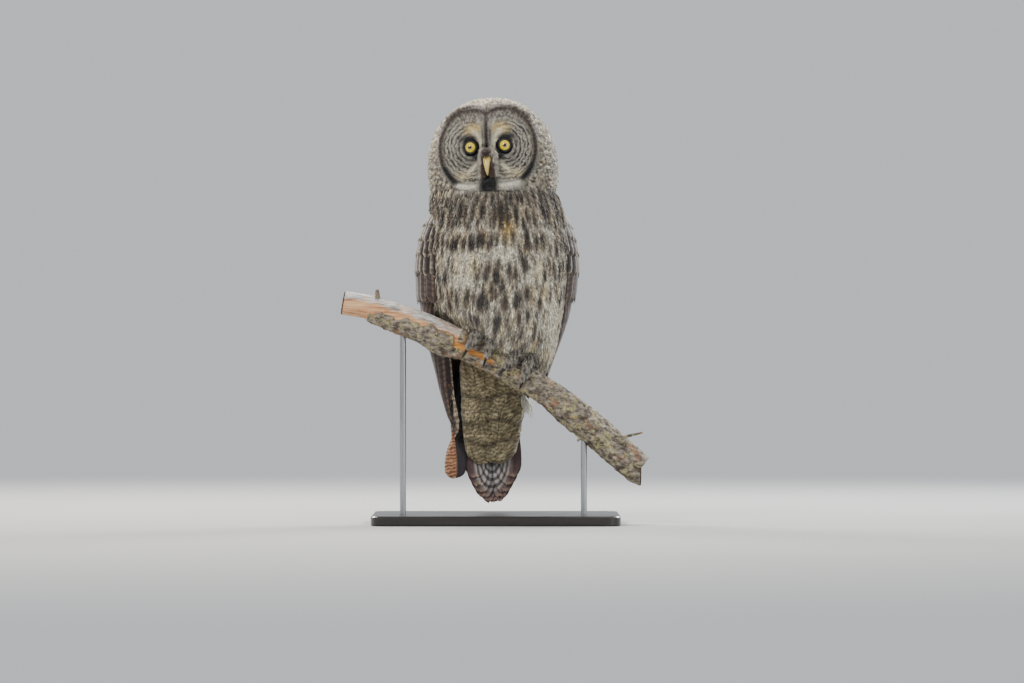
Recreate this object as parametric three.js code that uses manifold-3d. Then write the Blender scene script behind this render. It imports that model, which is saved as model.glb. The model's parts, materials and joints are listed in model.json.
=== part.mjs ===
// A great grey owl, life size, perched upright on a cut length of branch that a plain display stand holds.
// Millimetres, +Z up. The bird looks towards -Y, so its left side is at +X. The origin is the middle of the
// underside of the stand's base. The bird has a frame of its own, with z = 0 at the tip of its tail.
import * as THREE from "three";
import { mergeVertices } from "three/addons/utils/BufferGeometryUtils.js";
import Module from "manifold-3d";

const wasm = await Module();
wasm.setup();
const { smoothstep, lerp, clamp, degToRad } = THREE.MathUtils;

// Driving dimensions
const GAP = 0.35; // between two nodes that meet
const BASE = { width: 400, depth: 260, thickness: 16, corner: 20, bevel: 2 };
const TAIL_CLEARANCE = 14; // from the base's top to the tip of the tail
const TAIL_TIP_Z = BASE.thickness + TAIL_CLEARANCE;
const BODY_YAW = degToRad(9); // the breast is turned a little to the bird's left
const BIRD_X = 4;
const ROD_RADIUS = 5;
const RODS = { left: -150, right: 142 }; // where along X each rod stands

// Horizontal sections of the bird: height, middle x, half width, front y, y of the widest place, back y
const BODY = [
  [206, 0, 16, 24, 48, 66],
  [218, 0, 40, 4, 44, 78],
  [234, 0, 62, -24, 40, 86],
  [252, 0, 78, -50, 36, 91],
  [274, 0, 90, -72, 29, 95],
  [300, 0, 99, -89, 21, 98],
  [332, 0, 106, -99, 13, 101],
  [365, 0, 109, -104, 8, 103],
  [397, 0, 110, -104, 4, 103],
  [430, 0, 110, -101, 2, 102],
  [455, -1, 108, -97, 2, 100],
  [478, -3, 106, -92, 2, 97],
  [500, -6, 103, -86, 2, 93],
  [526, -8, 97, -76, 4, 85],
  [540, -8, 88, -62, 5, 74],
];
const WING = [
  [30, 0, 46, 82, 92, 117],
  [64, 0, 48, 76, 89, 116],
  [98, 0, 53, 70, 86, 115],
  [128, 0, 67, 60, 80, 114],
  [173, 0, 84, 46, 72, 113],
  [219, 0, 97, 30, 62, 112],
  [267, 0, 113, 8, 46, 112],
  [300, 0, 122, -16, 33, 112],
  [332, 0, 129, -40, 22, 112],
  [364, 0, 133, -52, 16, 112],
  [397, 0, 134, -57, 12, 111],
  [430, -1, 130, -58, 9, 109],
  [454, -2, 123, -54, 8, 106],
  [470, -3, 115, -49, 8, 102],
  [486, -4, 104, -42, 8, 95],
];
const UNDERTAIL = [
  [64, 0, 20, 82, 88, 96],
  [78, 0, 38, 74, 84, 96],
  [105, 0, 46, 61, 77, 96],
  [135, 0, 50, 48, 68, 96],
  [170, 0, 53, 34, 58, 96],
  [205, 0, 57, 18, 48, 96],
  [240, 0, 62, 4, 40, 96],
  [285, 0, 68, 2, 38, 96],
];
const ROUNDNESS = { body: 2.15, wing: 2.2, undertail: 2.3 }; // superellipse exponents of those sections
const BELLY_SLOPE = { rate: 0.48, from: 345, to: 250 }; // the belly's foot slants with the branch below it
const WING_FRONT = [[30, 8], [90, -20], [150, -42], [219, -48], [300, -50], [430, -50], [470, -36], [486, -20]];
const WING_BACK = [[30, 72], [150, 80], [219, 89], [340, 90], [364, 86], [397, 74], [430, 58], [470, 34], [486, 20]];

// The head, about its own middle
const HEAD = {
  at: [-8, 2, 545],
  roll: degToRad(-3.5),
  yaw: degToRad(-15),
  halfWidth: 103,
  up: 112,
  down: 78,
  front: 80,
  back: 88,
};
const DISC = { lobeX: 25, z: 31, radiusX: 49, radiusZ: 60, depth: 13, rim: 4 };
const EYE = { x: 27, y: -60, z: 33.5, radius: 12, lidRadius: 10.4, lidThickness: 2.6 };
const BILL = {
  upper: [[-64, 11], [-81, 15], [-91.5, 12], [-97.5, 3], [-96.5, -7], [-92, -15]],
  lower: [[-64, 0], [-79, 0], [-86, -3], [-91, -8]],
};
const NECK = { top: 511, bottom: 484, tilt: 0.1 }; // the two cuts, higher towards the nape

// The branch: x, y, height of its middle above the tail's tip, radius of the wood, thickness of the bark
const BRANCH = [
  [-245, -37, 327, 18.5, 3.5],
  [-204, -36, 320, 19.5, 4],
  [-155, -34, 303, 21.5, 4.5],
  [-115, -33, 288, 23, 5],
  [-79, -32, 271, 24, 5.5],
  [-42, -32, 256, 21, 4],
  [0, -32, 234, 19.5, 3.5],
  [50, -32, 203, 18.5, 3.5],
  [79, -31, 184, 18, 3.5],
  [110, -30, 161, 20, 4.5],
  [138, -29, 139, 21, 4.5],
  [188, -27, 96, 21, 4],
  [232, -25, 57, 20.5, 4],
];
const BARK_START = -204; // left of here the bark is gone all round
const PEEL_END = -62; // and up to here it is gone from the top and front
const PEEL_FRONT = [[-204, 108], [-155, 92], [-115, 80], [-79, 72], [-62, 100]]; // where the bark starts, by angle
const STRIP = { from: -62, to: 12, angle: 104, halfWidth: 11 }; // a last torn strip along the front

// Feet on the branch, the legs above them, and the tail
const FEET = { right: -29, left: 31 }; // x of each
const TOE = { root: 9.5, tip: 4.8, clawRoot: 3.3, clawTip: 0.5 };
const TOES = [
  { name: "inner", shift: -8, splay: -7, from: 8, to: 92 },
  { name: "middle", shift: 8, splay: 7, from: 8, to: 96 },
  { name: "outer", shift: 9, splay: 9, from: -8, to: -74 },
  { name: "hind", shift: -8, splay: -6, from: -8, to: -66 },
];
const LEG = { start: 20, path: [[0, 0], [2, 18], [8, 42], [14, 64]], radii: [[19, 19], [25, 25], [27, 27], [16, 18]] };
const CLAW_ARC = 50; // degrees round the branch
const BELLY_CLEARANCE = 12; // over the branch
const SEAT = { height: 233, slope: -0.5375 }; // the cut through the body in line with the branch
const TAIL = { rootY: 84, tipY: 99, halfThickness: 7, width: 38, pairs: 6, step: 1.05, spread: 5.2 };
const TAIL_DROP = [0, 2, 8, 17, 28, 42]; // how much each pair is shorter than the middle one

// Small helpers

const degrees = (a) => degToRad(a);
const signedPower = (v, p) => Math.sign(v) * Math.abs(v) ** p;
const vec = (x, y, z) => new THREE.Vector3(x, y, z);

// A smooth curve through rows of [key, ...values], with the keys rising.
function smooth(rows) {
  const last = rows.length - 1;
  return (key) => {
    const k = clamp(key, rows[0][0], rows[last][0]);
    let i = 0;
    while (i < last - 1 && rows[i + 1][0] < k) i++;
    const [before, a, b, after] = [rows[Math.max(i - 1, 0)], rows[i], rows[i + 1], rows[Math.min(i + 2, last)]];
    const span = b[0] - a[0];
    const t = (k - a[0]) / span;
    return a.slice(1).map((_, j) => {
      const c = j + 1;
      const leave = ((b[c] - before[c]) / (b[0] - before[0])) * span;
      const arrive = ((after[c] - a[c]) / (after[0] - a[0])) * span;
      const rise = 3 * t * t - 2 * t ** 3;
      return a[c] * (1 - rise) + b[c] * rise + leave * t * (1 - t) ** 2 - arrive * t * t * (1 - t);
    });
  };
}

// A closed surface through rings of points, its two ends closed by fans. On a thin vane both faces are split alike.
function skin(rings, alike = false) {
  const count = rings[0].length;
  const points = rings.flat();
  const index = [];
  for (let k = 0; k < rings.length - 1; k++) {
    for (let j = 0; j < count; j++) {
      const [a, b] = [k * count + j, k * count + ((j + 1) % count)];
      const [c, d] = [a + count, b + count];
      if (alike && j >= count / 2 - 1) index.push(a, b, c, b, d, c);
      else index.push(a, b, d, a, d, c);
    }
  }
  for (const [ring, first] of [[rings[0], 0], [rings.at(-1), (rings.length - 1) * count]]) {
    const middle = ring.reduce((sum, p) => sum.add(p), vec(0, 0, 0)).divideScalar(count);
    points.push(middle);
    for (let j = 0; j < count; j++) {
      const [a, b] = [first + j, first + ((j + 1) % count)];
      if (first) index.push(a, b, points.length - 1);
      else index.push(b, a, points.length - 1);
    }
  }
  return new THREE.BufferGeometry().setFromPoints(points).setIndex(index);
}

// A three.js geometry as a solid, with its faces turned outwards.
function solid(geometry) {
  const bare = new THREE.BufferGeometry().setAttribute("position", geometry.getAttribute("position"));
  bare.setIndex(geometry.index ?? [...Array(bare.attributes.position.count).keys()]);
  const merged = mergeVertices(bare, 1e-4);
  const build = (triVerts) =>
    new wasm.Manifold(new wasm.Mesh({ numProp: 3, vertProperties: merged.attributes.position.array, triVerts }));
  const made = build(new Uint32Array(merged.index.array));
  return made.volume() > 0 ? made : build(new Uint32Array(merged.index.array).reverse());
}

const union = (pieces) => wasm.Manifold.union(pieces);
const largest = (made) => made.decompose().reduce((a, b) => (b.volume() > a.volume() ? b : a));

// A tube of elliptical rings along a curve through points. radii are [along side, across it] at each point.
function tube(points, radii, side, { around = 10, steps = 8, grow = 0 } = {}) {
  const curve = new THREE.CatmullRomCurve3(points);
  const at = smooth(radii.map(([w, h], i) => [i / (radii.length - 1), w, h]));
  const rings = [];
  for (let k = 0; k <= steps; k++) {
    const t = k / steps;
    const [w, h] = at(t);
    const tangent = curve.getTangent(t);
    const across = side.clone().addScaledVector(tangent, -side.dot(tangent)).normalize();
    const up = vec(0, 0, 0).crossVectors(tangent, across).normalize();
    const ends = k === 0 ? -grow : k === steps ? grow : 0;
    const middle = curve.getPoint(t).addScaledVector(tangent, ends);
    rings.push(
      Array.from({ length: around }, (_, j) => {
        const a = (2 * Math.PI * j) / around;
        return middle
          .clone()
          .addScaledVector(across, (w + grow) * Math.cos(a))
          .addScaledVector(up, (h + grow) * Math.sin(a));
      }),
    );
  }
  return solid(skin(rings));
}

function ball([x, y, z], [rx, ry, rz], grow = 0, across = 20, down = 12) {
  const g = new THREE.SphereGeometry(1, across, down).scale(rx + grow, ry + grow, rz + grow).translate(x, y, z);
  return solid(g);
}

// The bird's frame and the head's, as matrices into the part's frame
const BIRD = new THREE.Matrix4().makeRotationZ(BODY_YAW).setPosition(BIRD_X, 0, TAIL_TIP_Z);
const HEAD_FRAME = BIRD.clone()
  .multiply(new THREE.Matrix4().makeTranslation(...HEAD.at))
  .multiply(new THREE.Matrix4().makeRotationZ(HEAD.yaw))
  .multiply(new THREE.Matrix4().makeRotationY(HEAD.roll));
const onBird = (made) => made.transform(BIRD.elements);
const onHead = (made) => made.transform(HEAD_FRAME.elements);

// Sections of the bird, and the surface that they describe

function sectionPoint([xc, a, yf, yc, yb], angle, exponent, grow = 0) {
  const p = 2 / exponent;
  const [c, s] = [signedPower(Math.cos(angle), p), signedPower(Math.sin(angle), p)];
  return [xc + (a + grow) * c, yc + (s > 0 ? yb - yc + grow : yc - yf + grow) * s];
}

const bodySections = smooth(BODY);
const wingSections = smooth(WING);
const undertailSections = smooth(UNDERTAIL);
const wingFront = smooth(WING_FRONT);
const wingBack = smooth(WING_BACK);

function bodyPoint(angle, z, grow = 0) {
  const [x, y] = sectionPoint(bodySections(z), angle, ROUNDNESS.body, grow);
  const slant = BELLY_SLOPE.rate * x * smoothstep(-z, -BELLY_SLOPE.from, -BELLY_SLOPE.to);
  return vec(x, y, z - slant);
}

// The belly's feathers lie a little over the body.
const bellyPoint = (angle, z) => bodyPoint(angle, z, 3.5);

function wingPoint(angle, z, grow = 0) {
  const [x, y] = sectionPoint(wingSections(z), angle, ROUNDNESS.wing, grow);
  return vec(x, y, z);
}

function undertailPoint(angle, z, grow = 0) {
  const [x, y] = sectionPoint(undertailSections(z), angle, ROUNDNESS.undertail, grow);
  return vec(x, y, z);
}

// A flat feather, closed all round, through stations that each give the points [edge, middle, edge] of its mid-plane
// and the way out of it. It is narrow at its root and rounded at its tip.
function feather(stations, thickness) {
  const rings = stations.map(({ points, out }) => {
    const upper = points.map((p) => p.clone().addScaledVector(out, thickness / 2));
    const lower = points.map((p) => p.clone().addScaledVector(out, -thickness / 2));
    return [...upper, ...lower.reverse()];
  });
  return solid(skin(rings, true));
}

// How wide a feather is at a share of its length, as a share of its full width.
function featherWidth(t) {
  const opening = lerp(0.5, 1, smoothstep(t, 0, 0.4));
  return t > 0.75 ? opening * Math.sqrt(Math.max(1 - ((t - 0.75) / 0.255) ** 2, 0.03)) : opening;
}

const FEATHER = { thickness: 0.8, tilt: 0.8, sunk: 9, under: 3.2 };
const SHORT = [0, 0.4, 0.84, 1];
const LONG = [0, 0.35, 0.75, 0.93, 1];

// How high a feather lies over its surface: rooted deep below it, under the tips of the row before, then up to it.
const rise = (t, cover) => {
  const emerged = lerp(-FEATHER.sunk, -FEATHER.under, smoothstep(t, 0, cover));
  return emerged + FEATHER.under * smoothstep(t, cover, 1);
};

// A feather over a surface, along line(t) = [angle in degrees, height, lift]. One edge is tilted up over the next.
function overSurface(place, line, width, { side = 1, shares = SHORT } = {}) {
  const stations = shares.map((t) => {
    const [turn, z, lift] = line(t);
    const angle = degrees(turn);
    const reach = place(angle + 0.02, z).distanceTo(place(angle - 0.02, z)) / 0.04;
    const half = ((width / 2) * featherWidth(t)) / reach;
    const outward = (a) => {
      const round = place(a + 0.02, z).sub(place(a - 0.02, z));
      const down = place(a, z - 1).sub(place(a, z + 1));
      return vec(0, 0, 0).crossVectors(down, round).normalize();
    };
    const points = [-1, 0, 1].map((u) => {
      const a = angle + u * half;
      return place(a, z).addScaledVector(outward(a), lift + FEATHER.tilt * u);
    });
    const out = outward(angle);
    for (const v of side < 0 ? [...points, out] : []) v.x *= -1;
    return { points, out };
  });
  return feather(stations, FEATHER.thickness);
}

// A row of feathers from the first to the last, each end given as [angle, height] of its root and tip. The last one
// lies on top, and each before it lies deeper by the row's layer.
function tier(place, { count, root, tip, width, cover = 0.3, layer = 0, raised = 0, shares }, side) {
  return Array.from({ length: count }, (_, k) => {
    const f = k / (count - 1);
    const from = [lerp(root[0][0], root[1][0], f), lerp(root[0][1], root[1][1], f)];
    const to = [lerp(tip[0][0], tip[1][0], f), lerp(tip[0][1], tip[1][1], f)];
    const offset = raised - layer * (count - 1 - k);
    const line = (t) => [lerp(from[0], to[0], t), lerp(from[1], to[1], t), rise(t, cover) + offset];
    return overSurface(place, line, width, { side, shares });
  });
}

// The branch

const branchRow = smooth(BRANCH);
const peelFront = smooth(PEEL_FRONT);

function branchAt(x) {
  const [y, z, wood, bark] = branchRow(x);
  const [yNext, zNext] = branchRow(x + 1);
  const along = vec(1, yNext - y, zNext - z).normalize();
  const up = vec(-along.z, 0, along.x).normalize();
  return { middle: vec(x, y, z + TAIL_TIP_Z), along, up, wood, bark };
}

// How much of the bark is left at a place. The angle is in degrees, 0 on top and 90 at the front.
function barkShare(x, angle) {
  const end = smoothstep(x, BARK_START - 2, BARK_START + 5);
  const onTop = 1 - smoothstep(angle, peelFront(x)[0] - 8, peelFront(x)[0] + 8);
  const notBack = smoothstep(angle, -70, -50);
  const peeled = onTop * notBack * (1 - smoothstep(x, PEEL_END - 6, PEEL_END + 6));
  const inStrip = smoothstep(x, STRIP.from - 8, STRIP.from) * (1 - smoothstep(x, STRIP.to - 25, STRIP.to));
  const strip = inStrip * (1 - smoothstep(Math.abs(angle - STRIP.angle), STRIP.halfWidth - 4, STRIP.halfWidth + 6));
  return end * (1 - clamp(peeled + strip, 0, 1));
}

function branchPoint(x, angle, grow = 0) {
  const { middle, up, wood, bark } = branchAt(x);
  const a = degrees(angle);
  const ridges = 1 + 0.18 * Math.sin(5 * a + x / 11) + 0.14 * Math.sin(3 * a - x / 17);
  const r = wood + bark * barkShare(x, angle) * ridges + grow;
  return middle.addScaledVector(up, r * Math.cos(a)).add(vec(0, -r * Math.sin(a), 0));
}

function branch(grow = 0, steps = 22, around = 12) {
  const [from, to] = [BRANCH[0][0] - grow, BRANCH.at(-1)[0] + grow];
  const rings = [];
  for (let k = 0; k <= steps; k++) {
    const x = lerp(from, to, k / steps);
    rings.push(Array.from({ length: around }, (_, j) => branchPoint(x, -180 + (360 * j) / around, grow)));
  }
  return solid(skin(rings));
}

// A broken twig that stands out of the branch: x, angle round it, length, root radius, lean along the branch
const STUBS = [
  [-196, 20, 12, 5, -4],
  [186, 35, 30, 3.2, 22],
  [150, 165, 11, 4, 2],
];

function stub([x, angle, length, radius, lean]) {
  const root = branchPoint(x, angle, -8);
  const out = branchPoint(x, angle, 0).sub(root).normalize();
  const tip = root.clone().addScaledVector(out, length + 8).addScaledVector(branchAt(x).along, lean);
  const middle = root.clone().lerp(tip, 0.5).addScaledVector(branchAt(x).along, -lean / 6);
  const radii = [[radius, radius], [radius * 0.8, radius * 0.75], [radius * 0.5, radius * 0.45]];
  return tube([root, middle, tip], radii, vec(0, 1, 0), { around: 7, steps: 3 });
}

// Feet: a place round the branch at a foot, then toes, claws and legs

function roundBranch(x, angle, lift) {
  const { middle, up, wood, bark } = branchAt(x);
  const a = degrees(angle);
  const r = wood + bark * 1.32 + lift;
  return middle.addScaledVector(up, r * Math.cos(a)).add(vec(0, -r * Math.sin(a), 0));
}

function toePoints(x, toe, outward) {
  const steps = [0, 0.34, 0.68, 1];
  return steps.map((t) => {
    const place = x + outward * (toe.shift + toe.splay * t);
    return roundBranch(place, lerp(toe.from, toe.to, t), lerp(TOE.root, TOE.tip, t) + GAP);
  });
}

function toeTube(x, toe, outward, grow, around = 8, steps = 4) {
  const radii = [0, 0.34, 0.68, 1].map((t) => [lerp(TOE.root, TOE.tip, t ** 1.5), lerp(TOE.root, TOE.tip, t ** 1.5)]);
  return tube(toePoints(x, toe, outward), radii, branchAt(x).along, { around, steps, grow });
}

function foot(x, outward) {
  const hub = ball(roundBranch(x, 0, 8).toArray(), [15, 15, 10.5], 0, 10, 6);
  return union([hub, ...TOES.map((toe) => toeTube(x, toe, outward, 0))]);
}

// The room that a foot takes under the belly
function footRoom(x, outward) {
  const hub = ball(roundBranch(x, 0, 8).toArray(), [15, 15, 12], 2.4, 8, 6);
  return union([hub, ...TOES.map((toe) => toeTube(x, toe, outward, 3, 6, 3))]);
}

// The end of a toe, grown by the gap to its claw
const toeRoom = (x, toe, outward) => toeTube(x, toe, outward, GAP);

function claw(x, toe, outward) {
  const end = toePoints(x, toe, outward).at(-1);
  const before = toePoints(x, toe, outward).at(-2);
  const ahead = end.clone().sub(before).normalize();
  const turn = Math.sign(toe.to);
  const place = x + outward * (toe.shift + toe.splay);
  const arc = (t, lift) => roundBranch(place + outward * toe.splay * 0.4 * t, toe.to + turn * CLAW_ARC * t, lift);
  const root = end.clone().addScaledVector(ahead, GAP);
  const points = [root, arc(0.36, TOE.clawRoot + 2.6), arc(0.72, 3.4), arc(1, 1.3)];
  const radii = [1, 0.85, 0.5, 0].map((s) => lerp(TOE.clawTip, TOE.clawRoot, s)).map((r) => [r * 0.85, r]);
  return tube(points, radii, branchAt(x).along, { around: 6, steps: 4 });
}

function leg(x, grow = 0) {
  const foot = roundBranch(x, 0, LEG.start);
  const points = LEG.path.map(([y, z]) => foot.clone().add(vec(0, y, z)));
  return tube(points, LEG.radii, vec(1, 0, 0), { around: 12, steps: 5, grow });
}

// Head

// How far the face is pushed back at a place in front view, by the hollow of each disc and the ridges round them.
function faceRelief(x, z) {
  const lobe = Math.hypot((Math.abs(x) - DISC.lobeX) / DISC.radiusX, (z - DISC.z) / DISC.radiusZ);
  const hollow = DISC.depth * Math.max(1 - lobe * lobe, 0) * smoothstep(Math.abs(x), 2, 19);
  const rim = DISC.rim * Math.exp(-(((lobe - 1.05) / 0.1) ** 2));
  const bridge = 4 * Math.exp(-((x / 9) ** 2)) * smoothstep(z, -30, 5) * (1 - smoothstep(z, 55, 85));
  const lores = 5 * Math.exp(-((x / 13) ** 2) - ((z - 8) / 15) ** 2);
  const chin = 6 * Math.exp(-((x / 15) ** 2) - ((z + 27) / 12) ** 2);
  const moustache = 3.5 * Math.exp(-(((Math.abs(x) - 26) / 18) ** 2) - ((z + 29) / 8) ** 2);
  return hollow - rim - bridge - lores - chin - moustache;
}

function headShape() {
  const front = [0.07, 0.17, 0.28, 0.38, 0.48, 0.57, 0.66, 0.75, 0.83, 0.91, 0.98];
  const back = [1, 0.97, 0.88, 0.7, 0.45, 0.15];
  const around = 30;
  const ring = (share, behind) =>
    Array.from({ length: around }, (_, j) => {
      const a = (2 * Math.PI * j) / around;
      const [c, s] = [Math.cos(a), Math.sin(a)];
      const x = share * HEAD.halfWidth * signedPower(c, 2 / 2.15);
      const z = share * (s > 0 ? HEAD.up * signedPower(s, 2 / 2.15) : HEAD.down * signedPower(s, 2 / 3));
      if (behind) return vec(x, HEAD.back * Math.sqrt(Math.max(1 - share ** 2.2, 0)), z);
      const fade = 1 - smoothstep(share, 0.85, 1);
      return vec(x, -HEAD.front * Math.max(1 - share ** 2.8, 0) ** (1 / 2.8) + faceRelief(x, z) * fade, z);
    });
  return solid(skin([...front.map((s) => ring(s, false)), ...back.map((s) => ring(s, true))]));
}

function eyeball(side, grow = 0) {
  return ball([side * EYE.x, EYE.y, EYE.z], [EYE.radius, EYE.radius, EYE.radius], grow, 14, 8);
}

// The lids, a ring round the front of the eye that leans outwards a little
function lids(side) {
  const g = new THREE.TorusGeometry(EYE.lidRadius, EYE.lidThickness, 6, 16)
    .rotateX(Math.PI / 2)
    .rotateZ(side * degrees(10))
    .translate(side * (EYE.x + 1), EYE.y - 6.5, EYE.z);
  return solid(g);
}

function billUpper(grow = 0) {
  const points = BILL.upper.map(([y, z]) => vec(0, y, z));
  const radii = [[8, 9], [7.6, 8.5], [6.6, 7.2], [4.8, 5.2], [2.8, 3.2], [0.5, 0.5]];
  return tube(points, radii, vec(1, 0, 0), { around: 10, steps: 8, grow });
}

function billLower(grow = 0) {
  const points = BILL.lower.map(([y, z]) => vec(0, y, z));
  const radii = [[6.4, 5], [5.8, 4.4], [4, 3], [1.2, 0.8]];
  return tube(points, radii, vec(1, 0, 0), { around: 8, steps: 4, grow });
}

const nostrils = () => [-1, 1].map((side) => ball([side * 6.4, -87, 16], [1.8, 2.4, 1.6], 0, 6, 4));

// Body, from the foot of the belly to inside the head

function bodyColumn(grow = 0) {
  const [low, high] = [BODY[0][0], BODY.at(-1)[0]];
  const rings = [];
  for (let k = 0; k <= 13; k++) {
    const z = lerp(low, high, k / 13);
    rings.push(Array.from({ length: 24 }, (_, j) => bodyPoint(degrees(15 * j), z, grow)));
  }
  return solid(skin(rings));
}

// The part of a solid over or under a slanting plane through height at the middle of the bird.
const above = (made, slope, height) => made.trimByPlane([-slope[0], -slope[1], 1], height / Math.hypot(...slope, 1));
const below = (made, slope, height) => made.trimByPlane([slope[0], slope[1], -1], -height / Math.hypot(...slope, 1));
// trimByPlane takes a unit normal's offset, so both helpers divide the height by the normal's length.

const NECK_SLOPE = [0, NECK.tilt];
const SEAT_SLOPE = [SEAT.slope, 0];

// Feathers of the lower belly that hang over the feet
const BELLY_TIERS = [
  { count: 4, root: [[-144, 342], [-66, 342]], tip: [[-140, 285], [-66, 285]], width: 42 },
  { count: 4, root: [[-136, 316], [-70, 316]], tip: [[-130, 258], [-72, 258]], width: 42 },
];

// Wings

// The folded wing's rows: scapulars, small coverts, large coverts, inner flight feathers.
const WING_TIERS = [
  { count: 3, root: [[44, 458], [64, 440]], tip: [[50, 366], [76, 350]], width: 40, cover: 0.2, raised: 3 },
  { count: 4, root: [[-38, 452], [26, 462]], tip: [[-40, 394], [28, 396]], width: 42, cover: 0.2 },
  { count: 5, root: [[-38, 416], [62, 418]], tip: [[-40, 326], [70, 322]], width: 44 },
  { count: 5, root: [[-26, 350], [72, 350]], tip: [[14, 166], [82, 190]], width: 30, layer: 1.1, shares: LONG },
];

// The outer flight feathers. The right wing's run down its front edge, and their tips stand out beside the tail.
// The left wing's run down its back edge, and their tips lie behind the tail.
const PRIMARIES = {
  right: { tips: [118, 90, 66, 46], rootZ: 300, root: [-38, 12], tip: [-12, 18], flare: 24 },
  left: { tips: [112, 90, 72, 58], rootZ: 264, root: [46, 9], tip: [54, 9], flare: 0 },
  depth: 1.6,
  width: 26,
};

function primary(k, side) {
  const look = side < 0 ? PRIMARIES.right : PRIMARIES.left;
  const flared = (angle, z) => {
    const p = wingPoint(angle, z);
    p.x += look.flare * smoothstep(-z, -135, -60);
    return p;
  };
  const line = (t) => {
    const angle = lerp(look.root[0] + look.root[1] * k, look.tip[0] + look.tip[1] * k, t);
    const lift = lerp(-FEATHER.sunk - 3, -1 - PRIMARIES.depth * k, smoothstep(t, 0, 0.3));
    return [angle, lerp(look.rootZ, look.tips[k], t), lift];
  };
  return overSurface(flared, line, PRIMARIES.width, { side, shares: LONG });
}

// The flesh and down of the folded wing, which the feathers are rooted in
function wingCore() {
  const rings = [];
  for (let k = 0; k <= 9; k++) {
    const z = lerp(205, 478, k / 9);
    const [front, back] = [degrees(wingFront(z)[0] + 4), degrees(wingBack(z)[0] - 2)];
    const outside = lerp(8.5, 5.5, smoothstep(z, 250, 340));
    const inside = lerp(11, 30, smoothstep(z, 205, 330));
    const outer = Array.from({ length: 8 }, (_, j) => wingPoint(lerp(front, back, j / 7), z, -outside));
    const inner = Array.from({ length: 8 }, (_, j) => wingPoint(lerp(back, front, j / 7), z, -inside));
    rings.push([...outer, ...inner]);
  }
  return skin(rings);
}

function wing(side) {
  const mirror = side < 0 ? new THREE.Matrix4().makeScale(-1, 1, 1) : new THREE.Matrix4();
  const core = solid(wingCore().applyMatrix4(mirror));
  const tiers = WING_TIERS.flatMap((row) => tier(wingPoint, row, side));
  return union([core, ...tiers, ...PRIMARIES.right.tips.map((_, k) => primary(k, side))]);
}

// Tail: twelve feathers in a closed fan, the middle pair on the back of the stack

const tailY = (z) => lerp(TAIL.tipY, TAIL.rootY, z / SEAT.height);

function tailFeather(pair, side) {
  const layer = (pair * 2 + (side > 0 ? 0 : 1) - TAIL.pairs + 0.5) * TAIL.step;
  const tipX = side * (3 + TAIL.spread * pair);
  const tipZ = TAIL_DROP[pair];
  const rootZ = SEAT.height + 40;
  const stations = [0, 0.4, 0.75, 0.9, 1].map((t) => {
    const z = lerp(rootZ, tipZ, t);
    const x = lerp(tipX * 0.35, tipX, smoothstep(t, 0, 0.8));
    const half = (TAIL.width / 2) * featherWidth(t);
    return { points: [-1, 0, 1].map((u) => vec(x + u * half, tailY(z) - layer, z)), out: vec(0, 1, 0) };
  });
  return feather(stations, 0.7);
}

function tail() {
  const feathers = [];
  for (let pair = 0; pair < TAIL.pairs; pair++) {
    for (const side of [1, -1]) feathers.push(tailFeather(pair, side));
  }
  const heights = [SEAT.height + 60, SEAT.height, 172];
  const rings = heights.map((z, i) => {
    const [half, deep] = [lerp(30, 24, i / 2), TAIL.halfThickness - 0.5];
    const corners = [[-1, -0.5], [-0.6, -1], [0.6, -1], [1, -0.5], [1, 0.5], [0.6, 1], [-0.6, 1], [-1, 0.5]];
    return corners.map(([u, v]) => vec(u * half, tailY(z) + v * deep, z));
  });
  return union([solid(skin(rings)), ...feathers]);
}

// The room that the tail takes, kept clear by its neighbours
function tailRoom() {
  const rings = [-20, SEAT.height + 70].map((z) => {
    const deep = TAIL.halfThickness + GAP;
    return [[-56, -deep], [56, -deep], [56, deep], [-56, deep]].map(([x, v]) => vec(x, tailY(z) + v, z));
  });
  return solid(skin(rings));
}

// Under-tail coverts: a soft wedge in front of the tail, with four tiers of barred feathers

function undertailCore(grow = 0) {
  const rings = [];
  for (let k = 0; k <= 7; k++) {
    const z = lerp(UNDERTAIL[0][0] - grow, UNDERTAIL.at(-1)[0], k / 7);
    rings.push(Array.from({ length: 16 }, (_, j) => undertailPoint(degrees(22.5 * j), z, grow)));
  }
  return solid(skin(rings));
}

// Their rows, from the vent down
const UNDERTAIL_TIERS = [
  { count: 4, root: [[-148, 238], [-32, 238]], tip: [[-146, 178], [-34, 178]], width: 38 },
  { count: 3, root: [[-142, 205], [-38, 205]], tip: [[-138, 140], [-42, 140]], width: 44 },
  { count: 4, root: [[-148, 168], [-32, 168]], tip: [[-142, 104], [-38, 104]], width: 34 },
  { count: 3, root: [[-144, 130], [-36, 130]], tip: [[-130, 70], [-50, 70]], width: 34 },
];

// Cutting the nodes clear of one another

const feetRoom = union([footRoom(FEET.right, -1), footRoom(FEET.left, 1)]);
const twoLegs = (grow) => union([leg(FEET.right, grow), leg(FEET.left, grow)]);
const seatZ = (extra) => SEAT.height + TAIL_TIP_Z + extra;
const neckZ = (height) => height + TAIL_TIP_Z;

const column = onBird(bodyColumn());
const columnRoom = onBird(bodyColumn(1.5 * GAP));
const coverts = onBird(union([undertailCore(-5), ...UNDERTAIL_TIERS.flatMap((row) => tier(undertailPoint, row))]));
const covertsRoom = onBird(undertailCore(2));
const room = onBird(tailRoom());
const legsRoom = twoLegs(GAP);
const branchTight = branch(GAP);

function buildTorso() {
  const fringe = BELLY_TIERS.flatMap((row) => tier(bellyPoint, row)).map(onBird);
  const feathered = union([below(column, NECK_SLOPE, neckZ(NECK.bottom)), ...fringe]);
  const seated = above(feathered, SEAT_SLOPE, seatZ(0));
  const cut = seated.subtract(branch(BELLY_CLEARANCE, 10, 10)).subtract(legsRoom).subtract(feetRoom);
  return largest(cut);
}

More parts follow.
